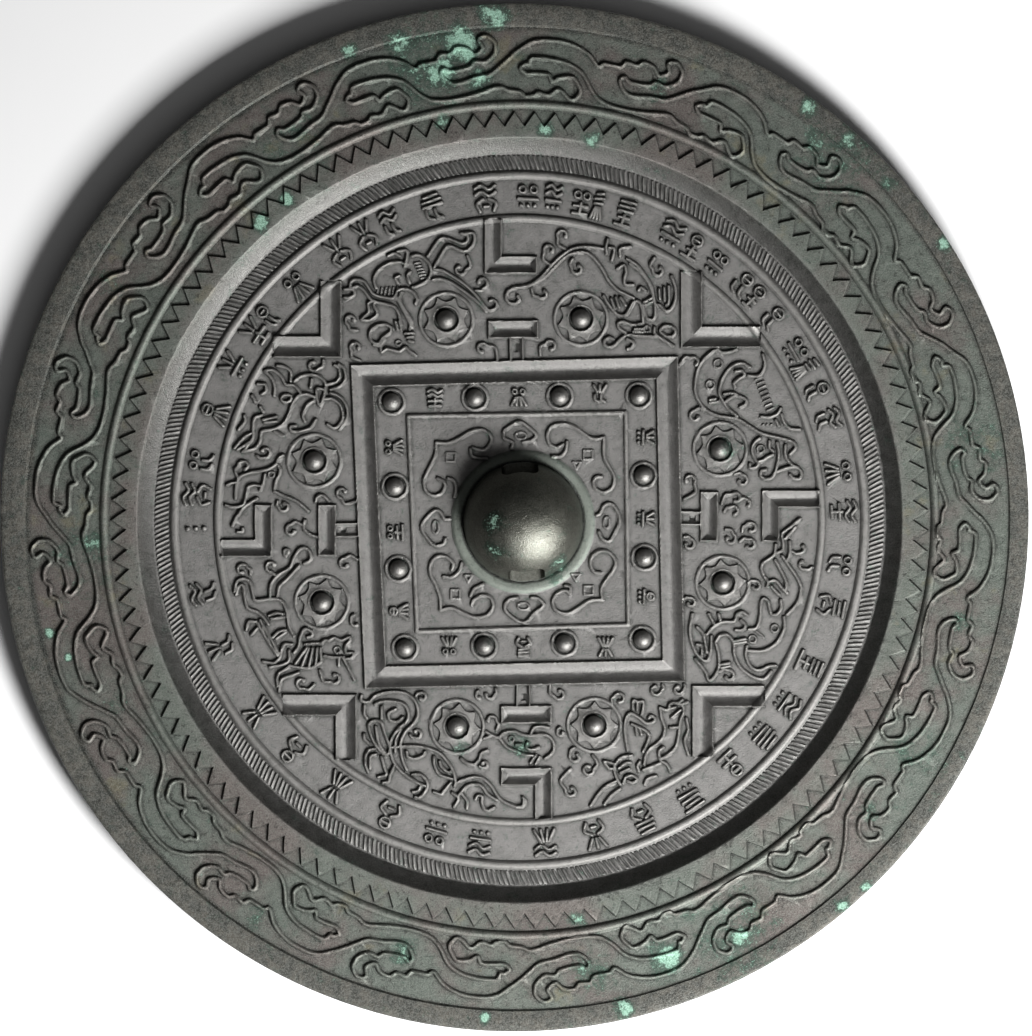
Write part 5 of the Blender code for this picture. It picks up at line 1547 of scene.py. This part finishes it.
class Patina(Shader):
    """The nodes of the bronze, with the noise and the zones of the mirror that its layers use."""

    def __init__(self, owner):
        super().__init__(owner)
        from_object = self.add("ShaderNodeTexCoord").outputs["Object"]
        self.places = self.vector("MULTIPLY", from_object, (1 / METRES, 1 / METRES, 1 / METRES))
        self.plan = self.vector("MULTIPLY", self.places, (1, 1, 0))
        self.mottle = self.noise(self.places, *MOTTLE)
        self.grain = self.noise(self.places, *GRAIN)

        self.away = self.distance_from(RELIEF_CENTRE)
        self.on_rim = self.ramp(self.away, 72, 76)
        foot = self.ramp(self.away, WALL_FOOT_RADIUS - 0.2, WALL_FOOT_RADIUS + 0.4)
        brink = self.ramp(self.away, WALL_TOP_RADIUS, WALL_TOP_RADIUS - 0.4)
        self.on_wall = self.math("MULTIPLY", foot, brink)
        self.from_knob = self.distance_from(KNOB_CENTRE)
        self.on_knob = self.ramp(self.from_knob, KNOB_RADIUS + 0.2, KNOB_RADIUS - 0.3)

        height = self.add("ShaderNodeSeparateXYZ", {"Vector": self.places}).outputs["Z"]
        ground = self.ramp(self.away, WALL_FOOT_RADIUS, WALL_TOP_RADIUS, FIELD_TOP, RIM_GROUND)
        self.above_ground = self.math("SUBTRACT", height, ground)
        self.polished = self.math("MAXIMUM", self.ramp(self.above_ground, 0.7, 1.0), self.on_wall)

    def distance_from(self, point):
        """How far each place is from a point, seen from above."""
        return self.vector("DISTANCE", self.plan, (*point, 0), "Value")

    def bare_metal(self):
        """The grey field, the green and brown rim, the black border, the dark knob and its paler ring."""
        green = self.blend(self.mottle, RIM_GREEN)
        brown = self.blend(self.mottle, RIM_BROWN)
        clouds = self.ramp(self.noise(self.places, *CLOUDS), 0.42, 0.6)
        ochre = self.ramp(self.noise(self.places, *OCHRE_CLOUDS), 0.6, 0.7)
        rim = self.cover(self.mix(clouds, green, brown), ochre, OCHRE_COVER, linear(RIM_OCHRE))
        border = self.blend(self.ramp(self.mottle, 0.42, 0.62), BORDER_METAL)
        on_border = self.ramp(self.away, BORDER_INNER_RADIUS - 1.1, BORDER_INNER_RADIUS + 0.2)
        rim = self.mix(on_border, rim, border)
        metal = self.mix(self.on_rim, self.blend(self.mottle, FIELD_METAL), rim)
        knob_ring = self.blend(self.mottle, KNOB_RING_METAL)
        knob = self.mix(self.on_knob, knob_ring, self.blend(self.mottle, KNOB_METAL))
        by_knob = self.ramp(self.from_knob, KNOB_RING_RADIUS + 0.3, KNOB_RING_RADIUS)
        return self.mix(by_knob, metal, knob)

    def weathered(self, metal):
        """The metal with painted shade on the wall, worn relief, dirt and painted shade in the corners, pale
        specks and dark spots.
        """
        # Painted shade: the slope up to the rim is darkened all round
        colour = self.cover(metal, self.on_wall, WALL_PAINTED_SHADE_COVER, linear(WALL_PAINTED_SHADE))
        raised = self.ramp(self.above_ground, 0.12, 0.45)
        worn = self.math("MULTIPLY", raised, self.ramp(self.grain, 0.3, 0.7, 0.5, 1.0))
        colour = self.cover(colour, worn, WORN_COVER, linear(WORN_METAL))
        # Dirt and painted shade: darker where the surface is hemmed in by relief, as at the feet of the
        # raised lines
        openness = self.add("ShaderNodeAmbientOcclusion", {"Distance": DIRT_AND_SHADE_REACH * METRES}, samples=4)
        dirt_and_shade = self.ramp(openness.outputs["AO"], 0.98, 0.66)
        colour = self.cover(colour, dirt_and_shade, DIRT_AND_SHADE_COVER, linear(DIRT_AND_SHADE))
        specks = self.ramp(self.grain, 0.35, 0.7)
        speck_cover = self.ramp(self.on_rim, 0.0, 1.0, *SPECK_COVER)
        colour = self.cover(colour, specks, speck_cover, linear(PALE_SPECK))
        spots = self.ramp(self.noise(self.places, *SPOTS), 0.56, 0.66)
        spot_cover = self.ramp(self.on_rim, 0.0, 1.0, *SPOT_COVER)
        return self.cover(colour, spots, spot_cover, linear(DARK_SPOT))

    def verdigris(self):
        """Where the dark green stain and, inside it, the pale crust lie: the patches, broken up by noise."""
        patches = None
        for angle, radius, size, density in VERDIGRIS:
            distance = self.distance_from(on_circle(angle, radius))
            patch = self.ramp(distance, size, size * 0.15, 0.0, density)
            patches = patch if patches is None else self.math("MAXIMUM", patches, patch)
        coarse = self.math("MULTIPLY", self.noise(self.places, *COARSE_CRUST), 0.6)
        broken = self.math("MULTIPLY_ADD", self.noise(self.places, *FINE_CRUST), 0.4, coarse)
        level = self.math("MULTIPLY_ADD", patches, 0.37, broken)
        stain = self.ramp(level, 0.54, 0.74)
        specks = self.ramp(self.noise(self.places, *CRUST_SPECKS), 0.58, 0.66)
        specks = self.math("MULTIPLY", self.math("MULTIPLY", specks, stain), 0.7)
        return stain, self.math("MAXIMUM", self.ramp(level, 0.72, 0.84), specks)

    def metallic(self, crust):
        """Most on the polished relief and wall, and none under the crust."""
        metal = self.ramp(self.polished, 0.0, 1.0, 0.65, 0.85)
        return self.math("MULTIPLY", metal, self.ramp(crust, 0.0, 0.6, 1.0, 0.0))

    def roughness(self, crust):
        """Less on the polished relief and the knob, and most on the crust."""
        rough = self.ramp(self.mottle, 0.3, 0.7, 0.5, 0.62)
        rough = self.math("SUBTRACT", rough, self.ramp(self.polished, 0.0, 1.0, 0.0, 0.1))
        rough = self.math("SUBTRACT", rough, self.ramp(self.on_knob, 0.0, 1.0, 0.0, 0.12))
        return self.math("MAXIMUM", rough, self.ramp(crust, 0.0, 0.5, 0.0, 0.85))

    def pitted(self):
        """The surface normal with the fine pits of the casting."""
        pits = self.math("ADD", self.grain, self.mottle)
        values = {"Height": pits, "Strength": PIT_STRENGTH, "Distance": PIT_DEPTH * METRES}
        return self.add("ShaderNodeBump", values).outputs["Normal"]


def bronze():
    """Dark cast bronze under a thin patina, with spots of verdigris."""
    material = bpy.data.materials.new("Patinated_bronze")
    patina = Patina(material)
    stain, crust = patina.verdigris()
    colour = patina.weathered(patina.bare_metal())
    colour = patina.cover(colour, stain, STAIN_COVER, linear(STAIN))
    green = patina.blend(patina.ramp(patina.grain, 0.3, 0.7), CRUST)
    colour = patina.cover(colour, crust, CRUST_COVER, green)
    surface = patina.nodes["Principled BSDF"]
    patina.set(surface.inputs["Base Color"], colour)
    patina.set(surface.inputs["Metallic"], patina.metallic(crust))
    patina.set(surface.inputs["Roughness"], patina.roughness(crust))
    patina.set(surface.inputs["Normal"], patina.pitted())
    return material


# Studio, in metres

FLOOR_HALF = 4.0
FLOOR_PALE = (0.93, 0.93, 0.93, 1.0)
FLOOR_GREY = (0.916, 0.916, 0.916, 1.0)
FLOOR_GRAIN = (60.0, 4.0, 0.55)
FLOOR_ROUGHNESS = 0.9

# The light: its direction, where azimuth 0 is to the right and 90 is up the picture, and its size and power
LIGHT_AZIMUTH = -54
LIGHT_ELEVATION = 36
LIGHT_DISTANCE = 0.5
LIGHT_SIZE = 0.2
LIGHT_POWER = 6.5
ROOM_ELEVATION = 58
ROOM_DARK = 0.01
ROOM_PALE = 0.22


def white_table():
    """A matt white surface with a faint grain."""
    material = bpy.data.materials.new("White_table")
    shader = Shader(material)
    places = shader.add("ShaderNodeTexCoord").outputs["Object"]
    colour = shader.mix(shader.noise(places, *FLOOR_GRAIN), FLOOR_GREY, FLOOR_PALE)
    surface = shader.nodes["Principled BSDF"]
    shader.set(surface.inputs["Base Color"], colour)
    shader.set(surface.inputs["Roughness"], FLOOR_ROUGHNESS)
    return material


def build_floor():
    """The white table that the mirror lies on."""
    half = FLOOR_HALF
    corners = [(-half, -half, 0), (half, -half, 0), (half, half, 0), (-half, half, 0)]
    mesh = bpy.data.meshes.new("floor")
    mesh.from_pydata(corners, [], [(0, 1, 2, 3)])
    mesh.materials.append(white_table())
    floor = bpy.data.objects.new("floor", mesh)
    bpy.context.scene.collection.objects.link(floor)


def direction(azimuth, elevation):
    """The direction from the mirror at an azimuth and an elevation in degrees."""
    turn = math.radians(azimuth)
    rise = math.radians(elevation)
    return Vector((math.cos(rise) * math.cos(turn), math.cos(rise) * math.sin(turn), math.sin(rise)))


def build_light():
    """One square soft light from below the picture, a little to the right."""
    data = bpy.data.lights.new("key_light", "AREA")
    data.size = LIGHT_SIZE
    data.energy = LIGHT_POWER
    light = bpy.data.objects.new("key_light", data)
    light.location = LIGHT_DISTANCE * direction(LIGHT_AZIMUTH, LIGHT_ELEVATION)
    light.rotation_euler = (-light.location).to_track_quat("-Z", "Y").to_euler()
    bpy.context.scene.collection.objects.link(light)


def build_room():
    """A dark room that is paler on the side of the light."""
    world = bpy.data.worlds.new("Room")
    shader = Shader(world)
    towards = shader.add("ShaderNodeTexCoord").outputs["Generated"]
    pale_side = direction(LIGHT_AZIMUTH, ROOM_ELEVATION)
    facing = shader.vector("DOT_PRODUCT", towards, pale_side, "Value")
    background = shader.nodes["Background"]
    shader.set(background.inputs["Color"], (1, 1, 1, 1))
    shader.set(background.inputs["Strength"], shader.ramp(facing, 0.55, 1.0, ROOM_DARK, ROOM_PALE))
    bpy.context.scene.world = world
    bpy.context.scene.view_settings.view_transform = "Standard"


# Place of the outline in the photograph, in pixels
PHOTO_WIDTH = 1032
PHOTO_HEIGHT = 1036
OUTLINE_X = 514.5
OUTLINE_Y = 517.3
OUTLINE_RADIUS = 514.5
CAMERA_DISTANCE = 2.4
SENSOR = 36.0


def build_camera():
    """A camera straight above the mirror, with the outline where the photograph has it."""
    metres_a_pixel = RIM_RADIUS * METRES / OUTLINE_RADIUS
    data = bpy.data.cameras.new("camera")
    data.sensor_fit = "HORIZONTAL"
    data.sensor_width = SENSOR
    data.lens = SENSOR * CAMERA_DISTANCE / (PHOTO_WIDTH * metres_a_pixel)
    data.clip_end = 50
    camera = bpy.data.objects.new("camera", data)
    camera.location = (
        (PHOTO_WIDTH / 2 - OUTLINE_X) * metres_a_pixel,
        (OUTLINE_Y - PHOTO_HEIGHT / 2) * metres_a_pixel,
        CAMERA_DISTANCE + BORDER_TOP * METRES,
    )
    bpy.context.scene.collection.objects.link(camera)
    bpy.context.scene.camera = camera


draw_frame_and_marks()
draw_nipples()
draw_scroll()
draw_teeth()
draw_comb()
draw_signs()
draw_figures()
draw_leaves()

mirror = build_mirror()
lay_out(mirror)
mirror.data.materials.clear()
mirror.data.materials.append(bronze())
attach(mirror, "root")
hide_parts("bronze_mirror")

build_floor()
build_light()
build_room()
build_camera()
